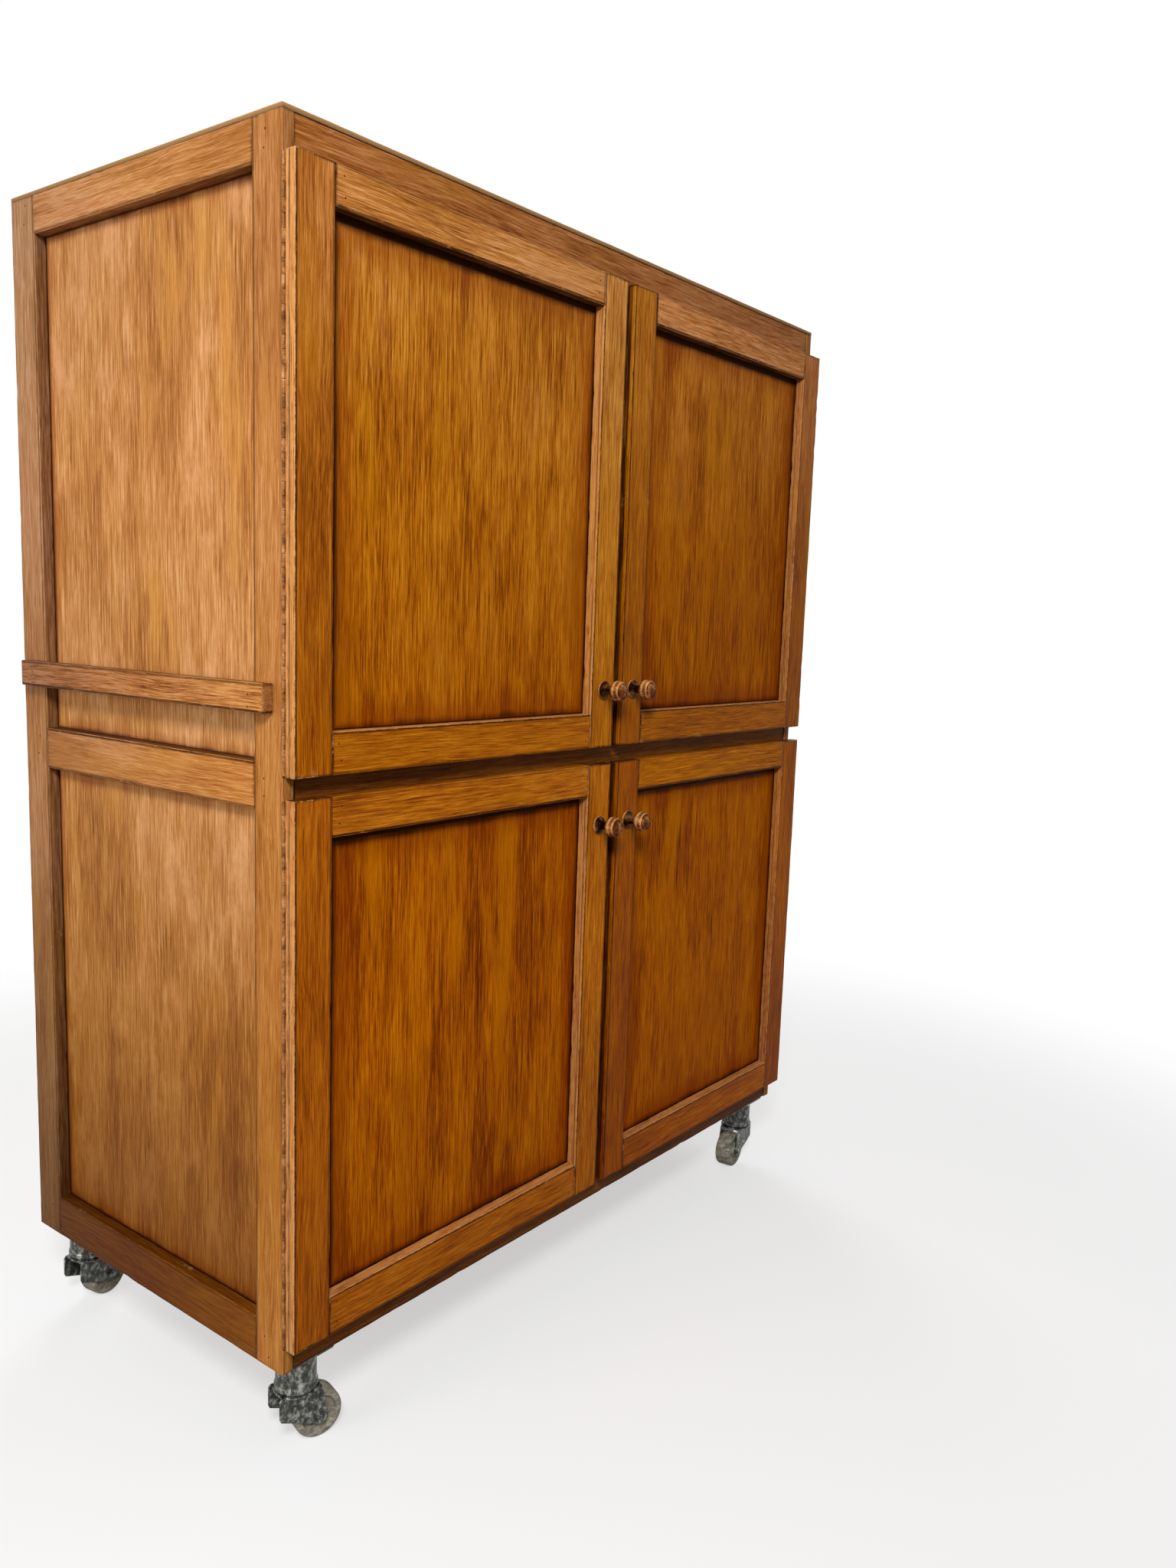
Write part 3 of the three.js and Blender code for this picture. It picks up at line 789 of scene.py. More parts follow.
def plate(outline: Array, low: float, high: float, edge: float, rows: Array, centre: Array) -> Shell:
    """Carries a convex outline through a thickness, with rounded rims.

    Each ring is the outline drawn in along its own normals by edge (1 - sin t), at a height that
    goes from low to low + edge and from high - edge to high as t turns a quarter.

    Args:
        outline: the corners, anticlockwise, in metres.
        low: height of the lower face, in millimetres.
        high: height of the upper face.
        edge: radius of the rims.
        rows: the frame that the outline and the height lie in.
        centre: the frame's origin.

    Returns:
        The shell.
    """
    ahead, behind = np.roll(outline, -1, 0) - outline, outline - np.roll(outline, 1, 0)
    normal = sum(np.stack([side[:, 1], -side[:, 0]], 1) / np.linalg.norm(side, axis=1)[:, None]
                 for side in (ahead, behind))
    normal /= np.linalg.norm(normal, axis=1)[:, None]
    turn = np.linspace(0, math.pi / 2, 4)
    inset = edge * (1 - np.sin(turn))
    height = edge * (1 - np.cos(turn))
    insets = np.concatenate([inset, inset[::-1]]) * MM
    heights = np.concatenate([low + height, high - height[::-1]]) * MM
    flat = outline[None] - normal[None] * insets[:, None, None]
    tall = np.broadcast_to(heights[:, None, None], (len(insets), len(outline), 1))
    return loft(np.concatenate([flat, tall], -1) @ rows + centre)


def regular(radius: float, sides: int, turn: float = 0.0) -> Array:
    """The corners of a regular polygon, anticlockwise."""
    angle = np.linspace(0, 2 * math.pi, sides, endpoint=False) + turn
    return np.stack([radius * np.cos(angle), radius * np.sin(angle)], 1)


# ---------------------------------------------------------------- pieces


def linked(name: str, data: bpy.types.ID) -> bpy.types.Object:
    """Makes an object of some data and links it into the scene.

    Args:
        name: the object's name.
        data: its mesh, camera or lamp.

    Returns:
        The new object.
    """
    made = bpy.data.objects.new(name, data)
    bpy.context.scene.collection.objects.link(made)
    return made


def finished(name: str, shell: Shell, material: bpy.types.Material, body: str,
             replaces: tuple[str, ...] = (), attributes: dict[str, Array] | None = None) -> None:
    """Puts a shell into the scene as a piece that rides on a body.

    Args:
        name: the piece's name.
        shell: its mesh, in place.
        material: its finish.
        body: the CAD body it moves with.
        replaces: CAD nodes it stands for.
        attributes: vectors for each point, by name.
    """
    mesh = bpy.data.meshes.new(name)
    mesh.from_pydata(shell.points.tolist(), [], shell.quads.tolist() + shell.caps)
    smooth = np.concatenate([shell.smooth, np.zeros(len(shell.caps), bool)])
    mesh.polygons.foreach_set("use_smooth", smooth)
    for key, values in (attributes or {}).items():
        layer = mesh.attributes.new(key, "FLOAT_VECTOR", "POINT")
        layer.data.foreach_set("vector", values.astype(np.float32).ravel())
    mesh.materials.append(material)
    mesh.update()
    piece = linked(name, mesh)
    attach(piece, body)
    if replaces:
        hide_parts(*replaces)
    log.info("%s: %d points on %s", name, len(shell.points), body)


class Lie(Enum):
    """Which world axes a board's length, width and thickness run along."""

    UPRIGHT_FRONT = (2, 0, 1)
    LEVEL_FRONT = (0, 2, 1)
    UPRIGHT_SIDE = (2, 1, 0)
    LEVEL_SIDE = (1, 2, 0)
    FLAT = (0, 1, 2)


@dataclass
class Board:
    """One board with eased, knocked arrises."""

    name: str
    low: Array
    high: Array
    lie: Lie
    seed: int
    edge: float = 1.3 * MM
    end: float = 0.5 * MM
    knock: float = 0.9
    windows: list[Box] = field(default_factory=list)
    # Edge tints: above 0 rubbed pale and painted light, below 0 stain and painted shade, which spares the
    # front strip.
    tints: Band = (0.0, 0.0)
    front_strip: float = 0.0
    # Tone with painted light, from the lower to the upper end of the span along its axis.
    glaze: tuple[ToneAndLight, ...] = (PLAIN,)
    glaze_axis: int = 2
    span: Band | None = None
    outward: int = -1
    corner_steps: int = 3
    station: float = 14 * MM
    widest_edge: float = 4 * MM
    hidden_room: float = 2 * MM
    seed_step: int = 5000

    @property
    def middle(self) -> Array:
        """The board's middle."""
        return (self.low + self.high) / 2

    @property
    def order(self) -> list[int]:
        """The world axes of its length, width and thickness."""
        return list(self.lie.value)

    def stations(self, length: float) -> tuple[Array, Array]:
        """Places the rings.

        Each end turns through a quarter circle of radius end, and the rings between are evenly
        spaced. A board with two windows has none between them, where its frame hides it.

        Args:
            length: the board's length.

        Returns:
            Places along the board, from its middle, and how far each ring is drawn in.
        """
        turn = np.linspace(0, math.pi / 2, 3)
        place = length / 2 - self.end * (1 - np.sin(turn))
        inset = self.end * (1 - np.cos(turn))
        reach = length / 2 - 2 * self.end
        inner = np.linspace(-reach, reach, max(3, int(2 * reach / self.station)))
        if len(self.windows) > 1:
            axis = self.order[0]
            lower, upper = sorted(self.windows, key=lambda window: window[0][axis])
            hidden = np.array([lower[1][axis], upper[0][axis]]) - self.middle[axis]
            inner = inner[(inner < hidden[0]) | (inner > hidden[1])]
            inner = np.sort(np.concatenate([inner, hidden + (self.hidden_room, -self.hidden_room)]))
        return (np.concatenate([-place[::-1], inner, place]),
                np.concatenate([inset[::-1], np.zeros(len(inner)), inset]))

    def arrises(self, inset: Array, thickness: float) -> Array:
        """Draws the radius of each ring's four corners.

        It is edge times 1 plus a slow and a quick random part, and a few corners are knocked in
        further. The rings of the rounded ends keep 0.6 of edge.

        Args:
            inset: how far each ring is drawn in.
            thickness: the smaller side of the section.

        Returns:
            The radii, as ring by corner.
        """
        rng = np.random.default_rng(self.seed)
        count = len(inset)
        ripple = np.convolve(rng.normal(size=count + 4), np.ones(5) / 5, "valid")
        slow, quick = 0.35 * self.knock * ripple[:, None], 0.25 * self.knock * rng.normal(size=(count, 4))
        radius = self.edge * (1 + slow + quick)
        radius += self.edge * self.knock * 1.6 * (rng.random((count, 4)) > 0.975)
        radius = np.clip(radius, 0.25 * self.edge, min(0.42 * thickness, self.widest_edge))
        return np.where(inset[:, None] > 0, 0.6 * self.edge, radius)

    def shell(self) -> Shell:
        """Builds the surface, whose section at each station is a rectangle with round corners.

        Returns:
            The shell, in place.
        """
        order = self.order
        size = (self.high - self.low)[order]
        along, inset = self.stations(size[0])
        steps = self.corner_steps
        turn = (np.arange(4)[:, None] * math.pi / 2 + np.linspace(0, math.pi / 2, steps + 1)[None]).ravel()
        sign = np.array([[1, 1], [-1, 1], [-1, -1], [1, -1]]).repeat(steps + 1, 0)
        wide = self.arrises(inset, size[1:].min()).repeat(steps + 1, 1)
        half = size[1:] / 2
        across = sign[:, 0] * (half[0] - wide - inset[:, None]) + wide * np.cos(turn)
        through = sign[:, 1] * (half[1] - wide - inset[:, None]) + wide * np.sin(turn)
        flags = np.ones((len(along) - 1, len(turn)), bool)
        flags[:, steps :: steps + 1] = False
        world = np.zeros((*across.shape, 3))
        world[..., order] = np.stack([np.broadcast_to(along[:, None], across.shape), across, through], -1)
        made = loft(world + self.middle, smooth=flags)
        return made if np.linalg.det(LEVEL[order]) > 0 else made.flipped()

    def attributes(self, points: Array) -> dict[str, Array]:
        """Works out the vectors that the wood shader reads.

        The colours of its tone with painted light lie evenly spaced from the lower to the upper end of
        span along its axis, and blend evenly between.

        Args:
            points: the board's points.

        Returns:
            Each point's place in the board, the board's half size, its seed, its edges' tints with the
            depth of the front strip that the dark tint spares, its tone with painted light, and its place in a
            window with the half size.
        """
        local = (points - self.middle)[:, self.order]
        shift = np.random.default_rng(self.seed + self.seed_step).uniform(-40, 40, 3) * (1, 0.4, 0.4)
        start, end = self.span or (self.low[self.glaze_axis], self.high[self.glaze_axis])
        share = (points[:, self.glaze_axis] - start) / (end - start)
        stops = np.linspace(0, 1, len(self.glaze))
        even = {"board_half": ((self.high - self.low) / 2)[self.order], "board_seed": shift,
                "board_edge": (*self.tints, self.front_strip)}
        made = {name: np.tile(vector, (len(points), 1)) for name, vector in even.items()}
        made["board_at"] = local
        made["board_tone"] = np.stack([np.interp(share, stops, channel) for channel in zip(*self.glaze)], 1)
        if self.windows:
            axis = self.order[0]
            first, last = self.windows[0], self.windows[-1]
            upper = (points[:, axis] > (first[1][axis] + last[0][axis]) / 2)[:, None]
            middle = np.where(upper, (last[0] + last[1]) / 2, (first[0] + first[1]) / 2)
            room = np.where(upper, (last[1] - last[0]) / 2, (first[1] - first[0]) / 2)
            place = (points - middle)[:, self.order]
            place[:, 2] = local[:, 2] * self.outward > 0
            made |= {"window_at": place, "window_half": room[:, self.order]}
        return made

    def place(self, material: bpy.types.Material, body: str, slot: str, node: str) -> None:
        """Builds the board on its body, in place of a CAD node."""
        shell = self.shell()
        finished(self.name, shell, material, body, (node,), self.attributes(shell.points))


class Finishes(dict):
    """Every material by its name, made once."""

    def __init__(self) -> None:
        """Builds each finish's material."""
        super().__init__({finish.name: finish.make() for finish in FINISHES})


def corners(node: str) -> Box:
    """A CAD node's lowest and highest corners as arrays."""
    low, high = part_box(node)
    return np.array(low), np.array(high)


def nail_head(spot: Array, way: Vector, radius: float = 1.4) -> Shell:
    """A stopped nail: a shallow dome of a radius in millimetres, facing a way."""
    dome = pin_profile([(0, 0), (radius, 0), (radius * 0.9, 0.14), (0, 0.2)], 0.1, 2)
    return revolved(dome, 14, spot, way)


@dataclass
class Carcass:
    """The fixed cupboard: side frames, sheets, rails, shelves and hand rails."""

    finishes: Finishes
    seed: int = 100
    # Tone with painted light of each side board, from its lower or front end to its upper or back end: darker
    # low down and, on most rails, towards the back, the sheet painted lighter under the hand rail against its
    # shadow, the bottom rail in painted shade. front_rail is the front top rail's; the centre stile gets
    # painted shade in the door gap.
    front_stile: tuple[ToneAndLight, ...] = ((0.98, 0.92, 0.6), (0.85, 0.75, 0.42), (0.93, 0.89, 0.7),
                                      (0.96, 0.94, 0.92), (0.84, 0.83, 0.85))
    back_stile: tuple[ToneAndLight, ...] = ((0.32, 0.31, 0.32), (0.58, 0.64, 0.75), (0.84, 0.93, 1.3),
                                     (0.88, 1.02, 1.5), (0.8, 0.98, 1.45))
    bottom_rail: tuple[ToneAndLight, ...] = ((0.44, 0.33, 0.06), (0.28, 0.18, 0.02), (0.24, 0.17, 0.05))
    middle_rail: tuple[ToneAndLight, ...] = ((1.08, 1.04, 0.85), (1.0, 1.02, 1.05), (0.7, 0.65, 0.75))
    top_rail: tuple[ToneAndLight, ...] = ((0.82, 0.78, 0.7), (1.0, 1.05, 1.1), (0.95, 1.03, 1.35))
    hand_rail: tuple[ToneAndLight, ...] = ((1.08, 1.08, 0.95), (0.80, 0.72, 0.66), (0.58, 0.57, 0.8))
    sheet: tuple[ToneAndLight, ...] = ((0.42, 0.28, 0.08), (0.8, 0.72, 0.45), (1.12, 1.18, 1.25), (1.1, 1.1, 1.1),
                                (1.05, 1.08, 1.15))
    front_rail: ToneAndLight = (0.82, 0.86, 1.5)
    gap_shade: ToneAndLight = (0.25, 0.17, 0.15)
    shelf_edge: float = 0.7 * MM
    nail_room: float = 0.3 * MM
    nail_depth: float = 0.05 * MM
    nail_stray: float = 5 * MM
    nail_seed: int = 900
    stile_nails_off: float = 6 * MM
    nail_shares: Band = (0.3, 0.72)
    rail_nails_in: Band = (30 * MM, 34 * MM)
    rail_nails_rise: Band = (-9 * MM, 8 * MM)
    shade_reach: float = 0.1

    def board(self, name: str, node: str, box: Box, lie: Lie, slot: str, finish: str = "",
              **extra: object) -> None:
        """Stands a worn board in for a CAD node.

        Args:
            name: the board's name.
            node: the CAD node that it stands for.
            box: its corners.
            lie: how it lies.
            slot: the record's material slot.
            finish: its finish, where that isn't the slot's own.
            extra: more of the board's fields.
        """
        self.seed += 1
        board = Board(name, *box, lie, self.seed, **extra)
        board.place(self.finishes[finish or slot], "root", slot, node)

    def whole(self, node: str, lie: Lie, slot: str, finish: str = "", **extra: object) -> None:
        """Stands one board in for a whole CAD node."""
        self.board(f"{node}_board", node, corners(node), lie, slot, finish, **extra)

    def windows(self, side: str) -> list[Box]:
        """Finds a side frame's two openings.

        Args:
            side: left or right.

        Returns:
            The lower and the upper one, with the clearance of the record's boxes added back.
        """
        boxes = {box["name"]: np.array(box["box_m"]) for box in frame["record"]["physics"]["openings"]}
        grow = np.array([0, FIT, FIT])
        found = [boxes[f"{side}_frame_{level}_window"] for level in ("lower", "upper")]
        return [(box.min(0) - grow, box.max(0) + grow) for box in found]

    def side(self, side: str) -> None:
        """Builds one side: two stiles, three rails, the hand rail, the sheet and the nails.

        Args:
            side: left or right.
        """
        node = f"{side}_side_frame"
        low, high = corners(node)
        lower, upper = self.windows(side)
        front, back = lower[0][1], lower[1][1]
        level = (front + FIT, back - FIT)
        upright, across = Lie.UPRIGHT_SIDE, Lie.LEVEL_SIDE
        # Edge tints: stain and painted shade, most on the middle rail's top edge in its recess and on the
        # rails' lower edges.
        spans = {
            "front_stile": (upright, (low[1], front), (low[2], high[2]), (-0.2, -0.6), self.front_stile),
            "back_stile": (upright, (back, high[1]), (low[2], high[2]), (-0.62, -0.2), self.back_stile),
            "bottom_rail": (across, level, (low[2], lower[0][2]), (-0.3, -0.4), self.bottom_rail),
            "middle_rail": (across, level, (lower[1][2], upper[0][2]), (-0.6, -0.95), self.middle_rail),
            "top_rail": (across, level, (upper[1][2], high[2]), (-0.55, 0.0), self.top_rail),
        }
        for name, (lie, depth, height, tints, glaze) in spans.items():
            box = tuple(np.array([face[0], y, z]) for face, y, z in zip((low, high), depth, height))
            self.board(f"{side}_side_{name}", node, box, lie, "side_wood", tints=tints, glaze=glaze,
                       glaze_axis=lie.value[0])
        way = -1 if side == "left" else 1
        hand = self.hand_box(side, way)
        # The hand rail's edges are dark with stain and painted shade.
        self.board(f"{side}_hand_rail_board", f"{side}_hand_rail", hand, across, "side_wood",
                   "hand_rail_wood", edge=1.8 * MM, end=3 * MM, tints=(-0.8, -0.6), glaze=self.hand_rail,
                   glaze_axis=1)
        self.whole(f"{side}_side_sheet", upright, "side_sheet_wood", edge=0.5 * MM, end=0.3 * MM,
                   windows=[lower, upper], outward=way, glaze=self.sheet)
        self.nails(side, way, hand, (low, high), (lower, upper))

    def hand_box(self, side: str, way: int) -> Box:
        """Draws in a hand rail's outer face, to leave room for nail heads.

        Args:
            side: left or right.
            way: -1 for the left side and 1 for the right.

        Returns:
            The hand rail's corners.
        """
        low, high = corners(f"{side}_hand_rail")
        shy = np.array([self.nail_room, 0, 0])
        return low + shy * (way < 0), high - shy * (way > 0)

    def nails(self, side: str, way: int, hand: Box, frame_box: Box, windows: tuple[Box, Box]) -> None:
        """Puts small stopped nails in one side: two in each stile by each rail, two at each hand rail end.

        Args:
            side: left or right.
            way: -1 for the left side and 1 for the right.
            hand: the hand rail's corners.
            frame_box: the side frame's corners.
            windows: its lower and upper openings.
        """
        low, high = frame_box
        lower, upper = windows
        outer = 0 if way < 0 else 1
        rng = np.random.default_rng(self.nail_seed)
        stiles = ((low[1] + lower[0][1]) / 2 + self.stile_nails_off,
                  (lower[1][1] + high[1]) / 2 - self.stile_nails_off)
        rails = ((low[2], lower[0][2]), (lower[1][2], upper[0][2]), (upper[1][2], high[2]))
        spots = [(frame_box[outer][0], y, bottom + (top - bottom) * share) for y in stiles
                 for bottom, top in rails for share in self.nail_shares]
        ends = (hand[0][1] + self.rail_nails_in[0], hand[1][1] - self.rail_nails_in[1])
        middle = (hand[0][2] + hand[1][2]) / 2
        spots += [(hand[outer][0], y, middle + rise) for y in ends for rise in self.rail_nails_rise]
        stray = self.nail_stray
        shells = [nail_head(np.array(spot) + (-way * self.nail_depth, *rng.uniform(-stray, stray, 2)),
                            Vector((way, 0, 0))) for spot in spots]
        finished(f"{side}_side_nails", joined(shells), self.finishes["nail_filler"], "root")

    def build(self) -> None:
        """Builds all that stays put."""
        for side in ("left", "right"):
            self.side(side)
        self.whole("top_sheet", Lie.FLAT, "side_sheet_wood", "top_sheet_wood", edge=0.8 * MM, end=0.8 * MM)
        self.whole("back_sheet", Lie.UPRIGHT_FRONT, "inside_wood", edge=0.5 * MM, end=0.4 * MM)
        # The front rails' edges are dark with stain and painted shade.
        self.whole("front_top_rail", Lie.LEVEL_FRONT, "front_wood", tints=(-0.6, 0.0),
                   glaze=(self.front_rail,))
        self.whole("front_bottom_rail", Lie.LEVEL_FRONT, "shaded_rail_wood", tints=(-0.5, -0.5))
        for node in ("bottom_deck", "middle_shelf", "lower_shelf", "upper_shelf"):
            self.whole(node, Lie.FLAT, "inside_wood", edge=self.shelf_edge)
        self.crossing()

    def crossing(self) -> None:
        """Builds the middle rail in painted shade where the doors hide it, with a painted shadow under the
        upper doors, and the centre stile's lengths below and above, in painted shade.
        """
        doors_low = corners("upper_left_hinge_stile")[0][2]
        rail_low, rail_high = corners("front_middle_rail")
        window = (np.array([rail_low[0], 0, rail_low[2] - self.shade_reach]),
                  np.array([rail_high[0], 0, doors_low]))
        self.whole("front_middle_rail", Lie.LEVEL_FRONT, "shaded_rail_wood", windows=[window])
        low, high = corners("centre_stile")
        spans = {"lower": (low[2], rail_low[2] - FIT), "upper": (rail_high[2] + FIT, high[2])}
        for name, (bottom, top) in spans.items():
            box = (np.array([*low[:2], bottom]), np.array([*high[:2], top]))
            self.board(f"centre_stile_{name}", "centre_stile", box, Lie.UPRIGHT_FRONT, "shaded_rail_wood",
                       glaze=(self.gap_shade,))


@dataclass
class Door:
    """One framed door with its panel, knob and nails. The knob's places are in millimetres."""

    name: str
    finishes: Finishes
    seed: int
    # The door's tone with painted light from bottom to top, darker low down and with a painted sheen at the
    # top of the upper doors, then its frame's and its meeting stile's; the right doors' meeting stiles are in
    # painted shade by the gap.
    glaze: tuple[ToneAndLight, ...] = (PLAIN,)
    frame_glaze: ToneAndLight = PLAIN
    meeting_glaze: ToneAndLight = PLAIN
    nail_radius: float = 1.3
    nail_inset: float = 14 * MM
    nail_depth: float = 0.05 * MM
    nail_stray: float = 3 * MM
    nail_shares: Band = (0.28, 0.74)
    share_stray: float = 0.06
    front_strips: dict[str, float] = field(default_factory=lambda: {
        "meeting_stile": 5 * MM, "hinge_stile": 11 * MM})
    # The panel's window is drawn in from the left stile and the top rail, so the painted shadow they cast
    # shows past the frame.
    hidden: Band = (15 * MM, 8 * MM)
    panel_seed_step: int = 7
    nail_seed_step: int = 50
    # Grime with painted shade in the grooves, then rubbing with painted highlights on the rims, by millimetres
    # out from the door; the painted highlight lies to the upper left and painted shade on the lower side.
    knob_grime_and_shade: tuple[Band, ...] = ((0, 1.0), (1.2, 0.3), (3.4, 0.2), (4.6, 1.0), (20, 1.0), (26, 0.7),
                                    (30, 0.1), (36, 0.1), (38, 0.85), (40, 0.1), (42, 0.0), (42.9, 0.9),
                                    (43.2, 0.2))
    knob_rubbed_and_highlight: tuple[Band, ...] = ((0, 0.0), (1.4, 0.2), (2.4, 1.0), (3.6, 0.0), (28, 0.0), (31, 0.6),
                                     (33.5, 0.9), (36, 0.1), (40, 0.2), (42, 1.0), (42.7, 0.0), (44, 0.0))
    knob_radius: float = 16
    light_way: tuple[float, float, float] = (-0.75, 0.0, 0.66)
    lower_painted_shade: float = 0.6
    least_rubbed_and_highlight: float = 0.25
    # Each frame part's tone with painted light.
    part_glazes: dict[str, ToneAndLight] = field(default_factory=lambda: {
        "hinge_stile": (0.86, 0.80, 0.75), "meeting_stile": (1.1, 1.18, 1.1), "top_rail": (1.02, 1.08, 1.3),
        "bottom_rail": (0.98, 0.99, 0.95)})

    @property
    def body(self) -> str:
        """The CAD body that the door's pieces ride on."""
        return f"{self.name}_door"

    def tints(self) -> dict[str, Band]:
        """Picks the tints of each board's two long edges: below 0 dark with stain and painted shade, above 0
        rubbed pale and painted light.

        Returns:
            For stiles the left edge then the right one, and for rails the lower then the upper.
        """
        # Edges that face the light are painted pale; undersides and edges in the meeting gap get painted
        # shade.
        if self.name.endswith("left"):
            stiles = {"hinge_stile": (0.95, -0.5), "meeting_stile": (0.8, -0.9)}
        else:
            stiles = {"hinge_stile": (0.6, 0.3), "meeting_stile": (-0.95, -0.5)}
        return stiles | {"top_rail": (-0.97, -0.35), "bottom_rail": (-0.6, 0.8)}

    def span(self) -> Band:
        """The heights of the door's bottom and top."""
        low, high = corners(f"{self.name}_hinge_stile")
        return low[2], high[2]

    def frame_boards(self) -> None:
        """Builds two full-height stiles with two rails between them."""
        for index, (part, tints) in enumerate(self.tints().items()):
            node = f"{self.name}_{part}"
            lie = Lie.UPRIGHT_FRONT if part.endswith("stile") else Lie.LEVEL_FRONT
            own = np.array(self.part_glazes[part]) * self.frame_glaze
            if part == "meeting_stile":
                own = own * self.meeting_glaze
            glaze = tuple(tuple(map(float, own * stop)) for stop in self.glaze)
            board = Board(f"{node}_board", *corners(node), lie, self.seed + index, edge=1.5 * MM, tints=tints,
                          front_strip=self.front_strips.get(part, 0.0), glaze=glaze, span=self.span())
            board.place(self.finishes["front_wood"], self.body, "front_wood", node)

    def panel(self) -> None:
        """Builds the plywood panel, with stain and painted shade where the frame meets it, the painted shadow
        widest at the left and the top.
        """
        node = f"{self.name}_panel"
        stiles = sorted((corners(f"{self.name}_{part}") for part in ("hinge_stile", "meeting_stile")),
                        key=lambda box: box[0][0])
        rail_low, rail_high = corners(f"{self.name}_bottom_rail"), corners(f"{self.name}_top_rail")
        left, top = self.hidden
        window = (np.array([stiles[0][1][0] + left, 0, rail_low[1][2]]),
                  np.array([stiles[1][0][0], 0, rail_high[0][2] - top]))
        board = Board(f"{node}_board", *corners(node), Lie.UPRIGHT_FRONT, self.seed + self.panel_seed_step,
                      edge=0.4 * MM, end=0.3 * MM, windows=[window], glaze=self.glaze, span=self.span())
        board.place(self.finishes["panel_wood"], self.body, "panel_wood", node)

    def knob(self) -> None:
        """Turns a bobbin knob: base disc with a groove, waist and wide head with a flat end.

        Grime with painted shade in the grooves, and rubbing with painted highlights on the rims, follow
        the distance out from the door. The lower side is darker with painted shade, and the upper left,
        which hands rub, paler with a painted highlight.
        """
        node = f"{self.name}_knob"
        low, high = corners(node)
        reach = (high[1] - low[1]) / MM
        profile = [(0, 0), (15.2, 0), (16, 1), (16, 3), (15, 4.4), (12.4, 4.9), (11.8, 6.4), (8.4, 8),
                   (7, 11.5), (7, 17), (8.6, 20), (12.4, 22.4), (16, 26), (17.8, 30.5), (17.9, 35),
                   (17, 39.6), (15.2, 42.6), (13.4, 43.4), (12.4, 42.8), (6, reach - 0.5), (0, reach)]
        centre = np.array([(low[0] + high[0]) / 2, high[1], (low[2] + high[2]) / 2])
        shell = revolved(pin_profile(profile, 1.6), 48, centre, FORWARD)
        out = (high[1] - shell.points[:, 1]) / MM
        held, rubbed = (np.interp(out, *zip(*stops)) for stops in (self.knob_grime_and_shade, self.knob_rubbed_and_highlight))
        # From the lower right to the upper left: painted shade below, painted highlight above.
        worn = ((shell.points - centre) @ np.array(self.light_way) / (self.knob_radius * MM)).clip(-1, 1)
        held = (held + self.lower_painted_shade * (-worn).clip(0, 1)).clip(0, 1)
        rubbed = rubbed * (self.least_rubbed_and_highlight + (1 - self.least_rubbed_and_highlight) * worn.clip(0, 1))
        finished(f"{node}_turned", shell, self.finishes["knob_wood"], self.body, (node,),
                 {"turned_grime_and_light": np.stack([held, rubbed, np.zeros(len(out))], 1)})

    def nails(self) -> None:
        """Sets stopped nail heads, two through each stile into each rail's end, a hair proud of the front."""
        rng = np.random.default_rng(self.seed + self.nail_seed_step)
        shells = []
        for part in ("top_rail", "bottom_rail"):
            low, high = corners(f"{self.name}_{part}")
            for edge, way in ((low[0], 1), (high[0], -1)):
                for share in self.nail_shares:
                    x = edge + way * (self.nail_inset + rng.uniform(-self.nail_stray, self.nail_stray))
                    share += rng.uniform(-self.share_stray, self.share_stray)
                    spot = np.array([x, low[1] + self.nail_depth, low[2] + (high[2] - low[2]) * share])
                    shells.append(nail_head(spot, FORWARD, self.nail_radius))
        finished(f"{self.name}_door_nails", joined(shells), self.finishes["nail_filler"], self.body)

    def build(self) -> None:
        """Builds the whole door."""
        self.frame_boards()
        self.panel()
        self.knob()
        self.nails()


